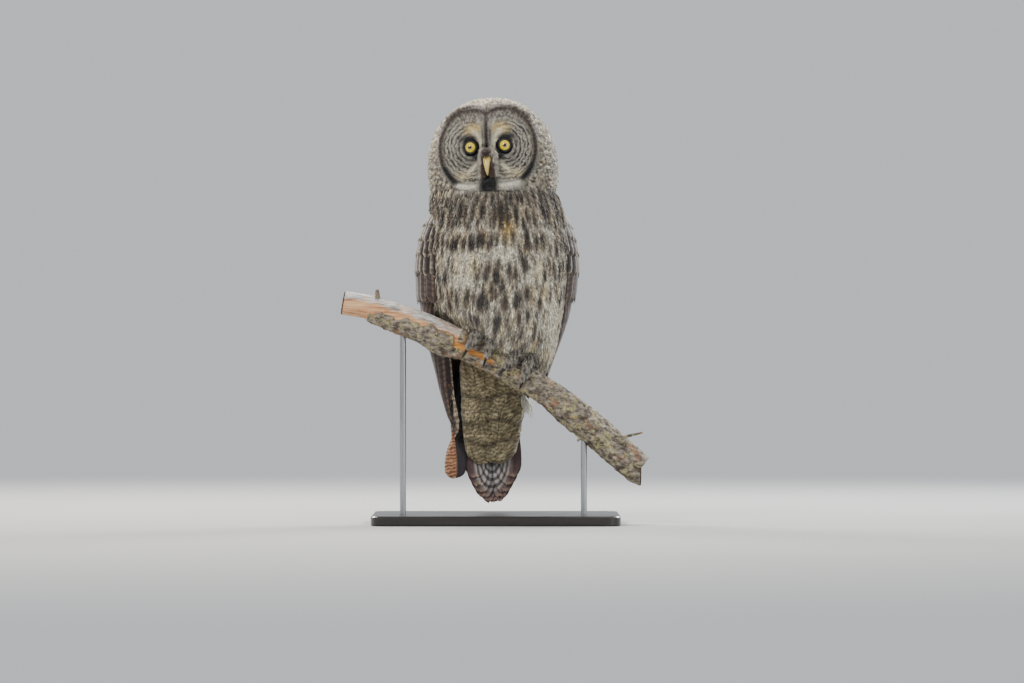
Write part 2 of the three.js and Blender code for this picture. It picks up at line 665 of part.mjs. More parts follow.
function buildNeck() {
  return largest(below(above(column, NECK_SLOPE, neckZ(NECK.bottom) + GAP), NECK_SLOPE, neckZ(NECK.top)));
}

function buildHead() {
  const shape = onHead(union([headShape(), lids(1), lids(-1)]));
  const cut = above(shape, NECK_SLOPE, neckZ(NECK.top) + GAP);
  const rooms = [eyeball(1, GAP), eyeball(-1, GAP), billUpper(GAP), billLower(GAP)].map(onHead);
  return largest(cut.subtract(union(rooms)));
}

function buildWing(side) {
  const half = onBird(wing(side).trimByPlane([side, 0, 0], GAP / 2));
  return largest(
    half.subtract(columnRoom).subtract(covertsRoom).subtract(room).subtract(branch(2)),
  );
}

const headSolid = buildHead();
const upperBill = onHead(billUpper().subtract(union(nostrils())));
const lowerBill = onHead(billLower().subtract(billUpper(GAP)));
const torsoSolid = buildTorso();
const tailSolid = largest(below(onBird(tail()), SEAT_SLOPE, seatZ(-GAP)));
const undertailSolid = largest(
  below(coverts, SEAT_SLOPE, seatZ(-GAP)).subtract(room).subtract(branch(2)).subtract(feetRoom).subtract(legsRoom),
);
const branchSolid = union([branch(), ...STUBS.map(stub)]);

// The stand

function base() {
  const [w, d, r] = [BASE.width / 2 - BASE.bevel, BASE.depth / 2 - BASE.bevel, BASE.corner];
  const outline = new THREE.Shape();
  outline.moveTo(-w + r, -d).lineTo(w - r, -d).absarc(w - r, -d + r, r, -Math.PI / 2, 0);
  outline.lineTo(w, d - r).absarc(w - r, d - r, r, 0, Math.PI / 2);
  outline.lineTo(-w + r, d).absarc(-w + r, d - r, r, Math.PI / 2, Math.PI);
  outline.lineTo(-w, -d + r).absarc(-w + r, -d + r, r, Math.PI, 1.5 * Math.PI);
  const look = { depth: BASE.thickness - 2 * BASE.bevel, bevelThickness: BASE.bevel, bevelSize: BASE.bevel };
  const plate = new THREE.ExtrudeGeometry(outline, { ...look, bevelSegments: 1, curveSegments: 3 });
  return solid(plate.translate(0, 0, BASE.bevel));
}

function rod(x) {
  const [y, z] = branchRow(x);
  const bottom = BASE.thickness + GAP;
  const top = z + TAIL_TIP_Z;
  const g = new THREE.CylinderGeometry(ROD_RADIUS, ROD_RADIUS, top - bottom, 20);
  g.rotateX(Math.PI / 2).translate(x, y, (top + bottom) / 2);
  return largest(solid(g).subtract(branchTight));
}

// The scene

const FINISHES = {
  plumage: { color: 0x8c857a, roughness: 0.95, metalness: 0 },
  face: { color: 0x9a958c, roughness: 0.95, metalness: 0 },
  flight: { color: 0x6b5a4b, roughness: 0.85, metalness: 0 },
  eye: { color: 0xf2c81e, roughness: 0.1, metalness: 0 },
  bill: { color: 0xd8c05a, roughness: 0.4, metalness: 0 },
  claw: { color: 0x1c1a1a, roughness: 0.35, metalness: 0 },
  wood: { color: 0x8a7358, roughness: 0.9, metalness: 0 },
  stand: { color: 0x2b2c2e, roughness: 0.5, metalness: 0.2 },
  rod: { color: 0x9a9da1, roughness: 0.3, metalness: 1 },
};
const materials = Object.fromEntries(
  Object.entries(FINISHES).map(([name, look]) => [name, new THREE.MeshStandardMaterial(look)]),
);

function node(name, made, finish) {
  const { vertProperties, triVerts, numProp } = made.getMesh();
  if (numProp !== 3) throw new Error(name + " holds more than positions");
  const g = new THREE.BufferGeometry();
  g.setAttribute("position", new THREE.BufferAttribute(new Float32Array(vertProperties), 3));
  g.setIndex(new THREE.BufferAttribute(new Uint32Array(triVerts), 1));
  const mesh = new THREE.Mesh(g, materials[finish]);
  mesh.name = name;
  return mesh;
}

const owl = new THREE.Group();
owl.add(node("head", headSolid, "face"));
for (const [side, word] of [[1, "left"], [-1, "right"]]) {
  owl.add(node(`eye_${word}`, onHead(eyeball(side)), "eye"));
  owl.add(node(`wing_${word}`, buildWing(side), "flight"));
}
owl.add(node("bill_upper", upperBill, "bill"));
owl.add(node("bill_lower", largest(lowerBill), "bill"));
owl.add(node("neck", buildNeck(), "plumage"));
owl.add(node("torso", torsoSolid, "plumage"));
owl.add(node("undertail_coverts", undertailSolid, "plumage"));
owl.add(node("tail", tailSolid, "flight"));
for (const [word, outward] of [["right", -1], ["left", 1]]) {
  const x = FEET[word];
  owl.add(node(`leg_${word}`, largest(leg(x).subtract(footRoom(x, outward))), "plumage"));
  owl.add(node(`foot_${word}`, largest(foot(x, outward).subtract(branchTight)), "plumage"));
  for (const toe of TOES) {
    const trimmed = largest(claw(x, toe, outward).subtract(toeRoom(x, toe, outward)).subtract(branchTight));
    owl.add(node(`claw_${word}_${toe.name}`, trimmed, "claw"));
  }
}

const stand = new THREE.Group();
stand.add(node("perch_branch", branchSolid, "wood"));
stand.add(node("stand_base", base(), "stand"));
for (const [word, x] of Object.entries(RODS)) stand.add(node(`stand_rod_${word}`, rod(x), "rod"));

const model = new THREE.Group();
model.add(owl, stand);
export default model;
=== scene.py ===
"""A great grey owl, life size, perched on a cut length of branch that a plain display stand holds.

Lengths in the tables are millimetres in the bird's own frame: it looks towards -Y, its left side is at +X,
and z = 0 is the tip of its tail. BIRD turns and lifts that frame into the model's, and Blender's objects are in metres.
"""

import json
import math

import bpy
import numpy as np
from mathutils import Matrix, Vector

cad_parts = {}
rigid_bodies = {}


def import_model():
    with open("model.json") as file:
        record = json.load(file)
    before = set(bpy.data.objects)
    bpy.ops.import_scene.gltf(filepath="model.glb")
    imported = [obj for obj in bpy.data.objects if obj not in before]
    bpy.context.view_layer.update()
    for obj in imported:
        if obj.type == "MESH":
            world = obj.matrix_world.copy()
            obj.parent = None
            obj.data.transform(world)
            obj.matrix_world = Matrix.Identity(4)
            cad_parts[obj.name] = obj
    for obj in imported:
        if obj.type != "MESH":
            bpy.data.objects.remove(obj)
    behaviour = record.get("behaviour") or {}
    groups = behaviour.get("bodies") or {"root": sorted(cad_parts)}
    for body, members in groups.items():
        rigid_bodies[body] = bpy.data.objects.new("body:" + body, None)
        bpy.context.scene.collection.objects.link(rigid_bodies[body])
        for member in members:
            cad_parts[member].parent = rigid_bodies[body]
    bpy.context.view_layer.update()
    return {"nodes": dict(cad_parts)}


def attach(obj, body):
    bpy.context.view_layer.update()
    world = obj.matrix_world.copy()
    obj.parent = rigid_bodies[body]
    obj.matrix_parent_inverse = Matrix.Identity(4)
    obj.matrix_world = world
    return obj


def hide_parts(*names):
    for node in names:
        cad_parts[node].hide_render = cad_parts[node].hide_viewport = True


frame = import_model()

MM = 0.001
TAIL_CLEAR = 30  # height of the tail's tip above the floor
TRUNK_Y = 30  # where the bird's upright axis is
FRONT = np.array([0, -1.0, 0])
rng = np.random.default_rng(11)

# Where the bird and its head are
BIRD = Matrix.Translation((4, 0, TAIL_CLEAR)) @ Matrix.Rotation(math.radians(9), 4, "Z")
HEAD_AT = (-8, 2, 545)
HEAD_TURN = Matrix.Rotation(math.radians(-15), 4, "Z")
HEAD_TILT = Matrix.Rotation(math.radians(-3.5), 4, "Y")
HEAD = Matrix.Translation(HEAD_AT) @ HEAD_TURN @ HEAD_TILT

# Horizontal sections: height, middle x, half width, front y, y of the widest place, back y
BODY = [
    [206, 0, 16, 24, 48, 66],
    [218, 0, 40, 4, 44, 78],
    [234, 0, 62, -24, 40, 86],
    [252, 0, 78, -50, 36, 91],
    [274, 0, 90, -72, 29, 95],
    [300, 0, 99, -89, 21, 98],
    [332, 0, 106, -99, 13, 101],
    [365, 0, 109, -104, 8, 103],
    [397, 0, 110, -104, 4, 103],
    [430, 0, 110, -101, 2, 102],
    [455, -1, 108, -97, 2, 100],
    [478, -3, 106, -92, 2, 97],
    [500, -6, 103, -86, 2, 93],
    [526, -8, 97, -76, 4, 85],
    [540, -8, 88, -62, 5, 74],
]
WING = [
    [30, 0, 46, 82, 92, 117],
    [64, 0, 48, 76, 89, 116],
    [98, 0, 53, 70, 86, 115],
    [128, 0, 67, 60, 80, 114],
    [173, 0, 84, 46, 72, 113],
    [219, 0, 97, 30, 62, 112],
    [267, 0, 113, 8, 46, 112],
    [300, 0, 122, -16, 33, 112],
    [332, 0, 129, -40, 22, 112],
    [364, 0, 133, -52, 16, 112],
    [397, 0, 134, -57, 12, 111],
    [430, -1, 130, -58, 9, 109],
    [454, -2, 123, -54, 8, 106],
    [470, -3, 115, -49, 8, 102],
    [486, -4, 104, -42, 8, 95],
]
UNDERTAIL = [
    [64, 0, 20, 82, 88, 96],
    [78, 0, 38, 74, 84, 96],
    [105, 0, 46, 61, 77, 96],
    [135, 0, 50, 48, 68, 96],
    [170, 0, 53, 34, 58, 96],
    [205, 0, 57, 18, 48, 96],
    [240, 0, 62, 4, 40, 96],
    [285, 0, 68, 2, 38, 96],
]
HEAD_SIZE = {"half": 103, "up": 112, "down": 78, "front": 80, "back": 88}
DISC = {"x": 25, "z": 31, "rx": 49, "rz": 60, "depth": 13, "rim": 4}
EYE = {"x": 27, "y": -60, "z": 33.5, "radius": 11.9, "bulge": 0.0011}
COAT_DEPTH = 5
# How square each form is in section, where 2 is round
SQUARENESS = {"body": 2.15, "wing": 2.2, "undertail": 2.3, "head": 2.15, "chin": 3, "face": 2.8, "nape": 2.2}
BODY_SLOPE = 0.48

# The branch: x, y, height of its middle above the tail's tip, radius of the wood, thickness of the bark
BRANCH = [
    [-245, -37, 327, 18.5, 3.5],
    [-204, -36, 320, 19.5, 4],
    [-155, -34, 303, 21.5, 4.5],
    [-115, -33, 288, 23, 5],
    [-79, -32, 271, 24, 5.5],
    [-42, -32, 256, 21, 4],
    [0, -32, 234, 19.5, 3.5],
    [50, -32, 203, 18.5, 3.5],
    [79, -31, 184, 18, 3.5],
    [110, -30, 161, 20, 4.5],
    [138, -29, 139, 21, 4.5],
    [188, -27, 96, 21, 4],
    [232, -25, 57, 20.5, 4],
]
PEEL_FRONT = [[-204, 108], [-155, 92], [-115, 80], [-79, 72], [-62, 100]]

# Small helpers


def step(value, low, high):
    """0 below low, 1 above high, smooth between."""
    t = np.clip((np.asarray(value, float) - low) / (high - low), 0, 1)
    return t * t * (3 - 2 * t)


def bump(value, middle, half):
    """1 at the middle, falling to 0 a few halves away."""
    return np.exp(-(((np.asarray(value, float) - middle) / half) ** 2))


def within(value, rise, top, fall, end):
    """1 from top to fall, easing to 0 at rise and at end."""
    return step(value, rise, top) * (1 - step(value, fall, end))


def smooth(rows):
    """A smooth curve through rows of [key, ...values], with the keys rising."""
    table = np.array(rows, float)
    keys, values = table[:, 0], table[:, 1:]
    slopes = np.empty_like(values)
    slopes[1:-1] = (values[2:] - values[:-2]) / (keys[2:] - keys[:-2])[:, None]
    slopes[0] = (values[1] - values[0]) / (keys[1] - keys[0])
    slopes[-1] = (values[-1] - values[-2]) / (keys[-1] - keys[-2])

    def at(key):
        k = np.clip(np.asarray(key, float), keys[0], keys[-1])
        i = np.clip(np.searchsorted(keys, k, side="right") - 1, 0, len(keys) - 2)
        span = (keys[i + 1] - keys[i])[..., None]
        t = (k - keys[i])[..., None] / span
        rise = 3 * t**2 - 2 * t**3
        bend = slopes[i] * t * (1 - t) ** 2 - slopes[i + 1] * t * t * (1 - t)
        return values[i] * (1 - rise) + values[i + 1] * rise + span * bend

    return at


def unit(v):
    return v / np.maximum(np.linalg.norm(v, axis=-1, keepdims=True), 1e-9)


def moved(matrix, points):
    """Points through a matrix."""
    m = np.array(matrix)
    return points @ m[:3, :3].T + m[:3, 3]


def linear(srgb):
    """A colour as it looks, as the shader reads it."""
    c = np.asarray(srgb, float)
    return np.where(c <= 0.04045, c / 12.92, ((c + 0.055) / 1.055) ** 2.4)


def mix(a, b, share):
    share = np.asarray(share)[..., None]
    return np.asarray(a) * (1 - share) + np.asarray(b) * share


def painted(colour, *layers):
    """A colour under layers, each given as a colour and its share."""
    for over, share in layers:
        colour = mix(colour, over, np.clip(share, 0, 1))
    return colour


def together(a, b):
    """Two numbers or arrays, spread to one shape."""
    return np.broadcast_arrays(np.asarray(a, float), np.asarray(b, float))


def squared_off(value, exponent):
    """A sine or cosine for a section that is squarer than a circle."""
    return np.sign(value) * np.abs(value) ** (2 / exponent)


def hashed(a, b, seed):
    """A number from 0 to 1 for each pair of whole numbers."""
    return np.modf(np.abs(np.sin(a * 12.9898 + b * 78.233 + seed * 37.719) * 43758.5453))[0]


# Surfaces: each place(u, v) gives points in the bird's frame


def sections(rows, exponent):
    """A surface through horizontal sections, by the angle round it and the height."""
    table = smooth(rows)

    def place(angle, z):
        angle, z = together(angle, z)
        middle, half, front, widest, back = np.moveaxis(table(z), -1, 0)
        c, s = squared_off(np.cos(angle), exponent), squared_off(np.sin(angle), exponent)
        y = widest + np.where(s > 0, back - widest, widest - front) * s
        return np.stack([middle + half * c, y, z], -1)

    return place


wing_place = sections(WING, SQUARENESS["wing"])
undertail_place = sections(UNDERTAIL, SQUARENESS["undertail"])
plain_body = sections(BODY, SQUARENESS["body"])


def body_place(angle, z):
    """The body. Its lower end slopes with the branch."""
    p = plain_body(angle, z)
    p[..., 2] -= BODY_SLOPE * p[..., 0] * (1 - step(p[..., 2], 250, 345))
    return p


def disc_share(x, z):
    """How far out a place is over the nearer disc of the face: 0 in its middle and 1 on its edge."""
    return np.hypot((np.abs(x) - DISC["x"]) / DISC["rx"], (z - DISC["z"]) / DISC["rz"])


# Swellings of the face: height, distance from the middle, half width, z, half height
SWELLINGS = {"lores": [5, 0, 13, 8, 15], "chin": [6, 0, 15, -27, 12], "moustache": [3.5, 26, 18, -29, 8]}


def face_relief(x, z):
    """How far the face is pushed back, by the hollow of each disc and the ridges round them."""
    lobe = disc_share(x, z)
    hollow = DISC["depth"] * np.maximum(1 - lobe * lobe, 0) * step(np.abs(x), 2, 19)
    rim = DISC["rim"] * bump(lobe, 1.05, 0.1)
    bridge = 4 * bump(x, 0, 9) * within(z, -30, 5, 55, 85)
    relief = hollow - rim - bridge
    for height, at_x, wide, at_z, tall in SWELLINGS.values():
        relief = relief - height * bump(np.abs(x), at_x, wide) * bump(z, at_z, tall)
    return relief


def face_front(out):
    """How far the face lies before the head's middle, by the share of the way out."""
    return HEAD_SIZE["front"] * np.maximum(1 - out ** SQUARENESS["face"], 0) ** (1 / SQUARENESS["face"])


def head_place(angle, share):
    """The head by angle in front view and share of the way out, 1 at the face's rim and 2 at the back."""
    angle, share = together(angle, share)
    out = np.where(share <= 1, share, 2 - share)
    s = np.sin(angle)
    x = out * HEAD_SIZE["half"] * squared_off(np.cos(angle), SQUARENESS["head"])
    up = HEAD_SIZE["up"] * np.abs(s) ** (2 / SQUARENESS["head"])
    down = -HEAD_SIZE["down"] * np.abs(s) ** (2 / SQUARENESS["chin"])
    z = out * np.where(s > 0, up, down)
    front = face_relief(x, z) * (1 - step(out, 0.85, 1)) - face_front(out)
    back = HEAD_SIZE["back"] * np.sqrt(np.maximum(1 - out ** SQUARENESS["nape"], 0))
    return moved(HEAD, np.stack([x, np.where(share <= 1, front, back), z], -1))


def surface(place, u, v, centre, du=0.01, dv=0.5):
    """Points, outward normals and the direction in which v falls, for a surface round a centre."""
    p = place(u, v)
    across = place(u + du, v) - place(u - du, v)
    along = place(u, v - dv) - place(u, v + dv)
    n = unit(np.cross(across, along))
    hub = np.asarray(centre(p) if callable(centre) else centre, float)
    return p, n * np.sign(np.sum(n * (p - hub), -1, keepdims=True)), unit(along)


def trunk_axis(p):
    """The point of the bird's upright axis at the height of each point."""
    return np.stack([p[..., 0] * 0, p[..., 0] * 0 + TRUNK_Y, p[..., 2]], -1)


def well_behind(p):
    """A point behind each point, for a surface that faces the front."""
    return p - 60 * FRONT


ROW_STEP = 0.87
JITTER = 0.3


def scatter(place, u_range, v_range, spacing, passes=1):
    """Places spread evenly over a surface, in staggered rows with some jitter, as arrays of u and v.

    Each further pass spaces the heights measured more evenly, for a surface that turns back sharply.
    """
    heights = np.linspace(*v_range, 400)
    for _ in range(passes):
        fine = heights
        columns = [place(np.full(400, u), fine) for u in np.linspace(*u_range, 7)]
        steps = np.mean([np.linalg.norm(np.diff(c, axis=0), axis=1) for c in columns], axis=0)
        run = np.concatenate([[0], np.cumsum(steps)])
        heights = np.interp(np.linspace(0, run[-1], 400), run, fine)
    line = np.linspace(*u_range, 300)
    us, vs = [], []
    for row, distance in enumerate(np.arange(0, run[-1], spacing * ROW_STEP)):
        points = place(line, np.full(300, np.interp(distance, run, fine)))
        reach = np.concatenate([[0], np.cumsum(np.linalg.norm(np.diff(points, axis=0), axis=1))])
        at = np.arange(0.25 + 0.5 * (row % 2), max(reach[-1] / spacing, 1)) * spacing
        at = at + rng.uniform(-JITTER, JITTER, len(at)) * spacing
        us.append(np.interp(at, reach, line))
        vs.append(np.interp(distance + rng.uniform(-JITTER, JITTER, len(at)) * spacing, run, fine))
    return np.concatenate(us), np.concatenate(vs)


# Colours and markings, worked out from where a point is on the bird

PALE = (0.90, 0.88, 0.81)
CREAM = (0.88, 0.81, 0.64)
GREY = (0.53, 0.51, 0.47)
DARK = (0.12, 0.095, 0.08)
BROWN = (0.29, 0.215, 0.16)
BUFF = (0.86, 0.71, 0.38)
BLACK = (0.02, 0.02, 0.025)
WHITE = (0.95, 0.93, 0.86)
PLUM = (0.21, 0.155, 0.15)

# Marks of the breast as seen from the front: x, z, half width, half height, and how dark
# A pale mark is below 0
BREAST_MARKS = [
    [8, 466, 11, 17, 0.8],
    [-66, 458, 16, 15, 0.5],
    [-66, 421, 13, 9, 0.75],
    [-30, 421, 14, 10, 0.8],
    [47, 407, 13, 13, 0.65],
    [70, 432, 14, 10, 0.4],
    [6, 340, 8, 42, 0.75],
    [34, 330, 5, 34, 0.45],
    [-24, 330, 5, 30, 0.4],
    [14, 408, 15, 20, -0.6],
    [-52, 380, 18, 30, -0.55],
    [64, 372, 9, 26, -0.5],
    [90, 285, 9, 60, -0.9],
]

# Mottling of the crown: turn in degrees, width, height, seed and strength of each layer of drops
MOTTLES = [[8, 8, 6.5, 21, 1], [-27, 11, 8, 24, 1], [39, 6, 7, 26, 0.8]]


def blotches(across, down, wide, tall, seed):
    """Dark drops, one to a cell of a staggered grid, each shifted and faded by chance."""
    row = np.floor(down / tall)
    shift = 0.5 * (row % 2)
    column = np.floor(across / wide + shift)
    cx = (column + 0.5 - shift + (hashed(column, row, seed) - 0.5) * 0.6) * wide
    cy = (row + 0.5 + (hashed(row, column, seed + 1) - 0.5) * 0.6) * tall
    d = ((across - cx) / (wide * 0.28)) ** 2 + ((down - cy) / (tall * 0.4)) ** 2
    return np.exp(-d) * (0.5 + 0.5 * hashed(column + row, row, seed + 2))


def turned(a, b, degrees):
    """Two ways over a surface, turned, so that layers of marks don't line up."""
    c, s = math.cos(math.radians(degrees)), math.sin(math.radians(degrees))
    return a * c + b * s, b * c - a * s


def body_colour(p):
    x, y, z = p[..., 0], p[..., 1], p[..., 2]
    arc = np.arctan2(x, 10 - y) * 105
    lean = arc + 0.12 * (z - 400) * np.tanh(arc / 40)
    drops = np.maximum(blotches(lean, z, 13, 40, 1), blotches(lean + 6, z + 14, 17, 46, 4))
    drops = np.maximum(drops, 0.7 * blotches(lean, z, 7, 17, 9))
    flecks = blotches(*turned(arc, z, 12), 5, 8, 12) + blotches(*turned(arc, z, -18), 7, 9, 14)
    share = drops * 1.15 - 0.08 + 0.22 * flecks
    front = moved(BIRD, p)[..., 0]
    facing = 1 - step(y, 0, 30)
    for at_x, at_z, wide, tall, dark in BREAST_MARKS:
        ragged = at_x + 3.5 * np.sin(z / 6.1 + at_x)
        height = at_z + 6 * np.sin(front / 5.3 + at_z)
        uneven = 0.55 + 0.6 * drops if dark > 0 else 1
        share = share + dark * uneven * bump(front, ragged, wide) * bump(z, height, tall) * facing
    share = share + 0.22 * step(z, 440, 500) - 0.15 * (1 - step(z, 290, 350))
    back = step(y, 40, 80)
    light = painted(
        mix(PALE, GREY, 0.2),
        (CREAM, blotches(arc, z, 31, 45, 8) + 0.1),
        (BUFF, 0.85 * bump(front, 19, 13) * bump(z, 448, 20) * facing),
        (GREY, 0.5 * step(z, 455, 505) + 0.45 * back),
    )
    dark = painted(DARK, (BROWN, blotches(arc, z, 25, 30, 3) * 1.2))
    return painted(light, (dark, share + 0.25 * back))


def face_colour(x, z):
    """The face in front view: colour, strength of the rings and their count out from the eye."""
    ax = np.abs(x)
    from_eye = np.hypot(ax - EYE["x"], (z - EYE["z"]) * 0.94)
    lobe = disc_share(x, z)
    specks = np.maximum(blotches(x, z, 5, 5.5, 51), blotches(x + 2, z + 3, 6.5, 7, 54))
    high = step(z, 66, 82)
    low = step(-z, -12, 4)
    crescent = bump(ax, 11 + 8 * ((z - 32) / 24) ** 2, 5.6) * within(z, -14, -2, 56, 70)
    middle = bump(x, 0, 3.2) * within(z, 12, 24, 66, 88) + 0.5 * bump(ax, 6, 1.8) * bump(z, 52, 14)
    round_eye = 1 - step(from_eye, 12.2, 15)
    comma = bump(ax, 19, 6.5) * bump(z, 21, 10) + bump(ax, 30, 11) * bump(z, 47.5, 4.5)
    rim = bump(lobe, 1.07, 0.085)
    black_edge = bump(lobe, 1.06, 0.07) * low * (1 - step(-z, 23, 30)) * step(ax, 22, 34)
    bow_tie = bump(z, -33 + 0.0035 * (ax - 12) ** 2, 5.5) * within(ax, 9, 13, 46, 60)
    chin = np.clip(2.2 * bump(x, 0, 8.7 - 0.12 * z) * bump(z, -28, 11), 0, 1)
    colour = painted(
        mix(GREY, PALE, 0.3 + 0.25 * bump(lobe, 0.75, 0.2)),
        (DARK, specks * (0.3 + 0.6 * high)),
        (BUFF, 0.9 * bump(ax, 23, 13) * bump(z, 62, 9)),
        (CREAM, 0.75 * bump(ax, 42, 16) * bump(z, -12, 8)),
        (mix(WHITE, CREAM, 0.35), 1.15 * crescent),
        (BROWN, 0.8 * bump(ax, 5, 6) * bump(z, 2, 14)),
        (DARK, 1.2 * middle),
        (BLACK, np.maximum(round_eye, 1.3 * comma)),
        (mix(DARK, BROWN, 0.5), 1.15 * rim * (1 - low) * (0.75 + 0.5 * specks)),
        (BLACK, 1.6 * black_edge),
        (WHITE, 1.25 * bow_tie),
        (BLACK, chin),
    )
    rings = 0.95 * step(from_eye, 13, 19) * (1 - step(lobe, 0.93, 1.02)) * step(ax, 12, 22)
    rings = rings * (1 - 0.6 * high) * (0.8 + 0.2 * np.sin(0.21 * x + 0.34 * z + 2 * np.sin(0.13 * x)))
    rings = rings * (1 - 0.8 * bump(ax, 23, 12) * bump(z, 60, 9))
    rings = rings * (1 - 0.6 * bump(ax, 42, 16) * bump(z, -12, 7))
    clear = 1 - np.clip(crescent + chin + bow_tie + rim, 0, 1)
    return colour, rings * clear, from_eye / 6.1


def coat_colour(p):
    """The colour of each point, the strength of the face's rings there, and their count."""
    h = moved(HEAD.inverted(), p)
    x, y, z = h[..., 0], h[..., 1], h[..., 2]
    around = np.arctan2(x, z + 20) * 95
    depth = np.arctan2(y + 20, np.hypot(x, z) + 1) * 95
    mottle = np.zeros_like(x)
    for degrees, wide, tall, seed, strength in MOTTLES:
        mottle = np.maximum(mottle, strength * blotches(*turned(around, depth, degrees), wide, tall, seed))
    crown = painted(
        PALE,
        (CREAM, blotches(around, depth, 23, 26, 27) + 0.2),
        (mix(DARK, BROWN, 0.35), mottle * 1.3),
        (mix(PALE, BUFF, 0.3), 0.4 * step(z, 84, 108)),
    )
    face, rings, count = face_colour(x, z)
    on_face = (1 - step(disc_share(x, z), 1.14, 1.26)) * (1 - step(y, -48, -30))
    below = bump(z, -29, 14) * (1 - step(np.abs(x), 50, 64)) * (1 - step(y, -48, -36))
    on_face = np.maximum(on_face, np.clip(1.5 * below, 0, 1) * step(z, -46, -40))
    on_body = 1 - step(z, -50, -40)
    colour = painted(crown, (face, on_face), (body_colour(p), on_body))
    return colour, rings * on_face * (1 - on_body), count


def one_colour(colour):
    """A colour all over, with no rings."""
    def colour_of(p):
        none = np.zeros_like(p[..., 0])
        return p * 0 + np.array(colour), none, none

    return colour_of


# Joined meshes from arrays

PATCH = 0.003  # side of a feather's patch on the unwrap
LIMIT = 180000  # most triangles of one piece
TILES = ["body", "back", "head", "nape", "wing", "rump", "tail", "toes", "leg"]
TILE = {"side": 0.3, "margin": 0.015}


def tile(name, a, b):
    """Where a root lies on the unwrap: its own square for each surface, by the surface's own two ways."""
    row, column = divmod(TILES.index(name), 3)
    corner = np.array([column / 3, row / 3]) + TILE["margin"]
    return corner + np.stack([np.clip(a, 0, 1), np.clip(b, 0, 1)], -1) * TILE["side"]


def attribute(mesh, name, values):
    layer = mesh.attributes.new(name, "FLOAT_COLOR", "POINT")
    layer.data.foreach_set("color", np.ascontiguousarray(values, np.float32).ravel())


def uv_map(mesh, name, per_corner):
    layer = mesh.uv_layers.new(name=name)
    layer.data.foreach_set("uv", np.ascontiguousarray(per_corner, np.float32).ravel())


def colour_in(mesh, colour, strength, count):
    """The mesh's colour as it looks, with the strength and the count of its rings or bars."""
    attribute(mesh, "Coat", np.concatenate([linear(np.clip(colour, 0, 1)), strength[:, None]], -1))
    attribute(mesh, "Wave", np.stack([count, count, count, np.ones_like(count)], -1))


def piece_from(name, points, triangles, feather, bake, colour, strength, count, material, slot):
    """A piece of coat from arrays in the bird's frame."""
    mesh = bpy.data.meshes.new(name)
    flat = triangles.ravel().astype(np.int32)
    mesh.vertices.add(len(points))
    mesh.vertices.foreach_set("co", (moved(BIRD, points) * MM).astype(np.float32).ravel())
    mesh.loops.add(len(flat))
    mesh.loops.foreach_set("vertex_index", flat)
    mesh.polygons.add(len(triangles))
    mesh.polygons.foreach_set("loop_start", np.arange(0, len(flat), 3, dtype=np.int32))
    mesh.update(calc_edges=True)
    mesh.polygons.foreach_set("use_smooth", np.ones(len(triangles), bool))
    uv_map(mesh, "Feather", feather[flat])
    uv_map(mesh, "OFBake", bake[flat])
    colour_in(mesh, colour, strength, count)
    mesh.materials.append(material)
    obj = bpy.data.objects.new(name, mesh)
    bpy.context.scene.collection.objects.link(obj)
    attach(obj, "root")
    return obj


# One lock of a tuft: rings of left, ridge and right, then its tip
LOCK_RINGS = {2: ([0, 0.55], [0.7, 1.0]), 3: ([0, 0.42, 0.8], [0.6, 1.0, 0.72])}


def lock_faces(rings):
    faces = [[0, 2, 1]]
    for k in range(rings - 1):
        a, b = 3 * k, 3 * k + 3
        for i, j in ((0, 1), (1, 2), (2, 0)):
            faces += [[a + i, a + j, b + j], [a + i, b + j, b + i]]
    a, tip = 3 * rings - 3, 3 * rings
    return np.array(faces + [[a, a + 1, tip], [a + 1, a + 2, tip], [a + 2, a, tip]])


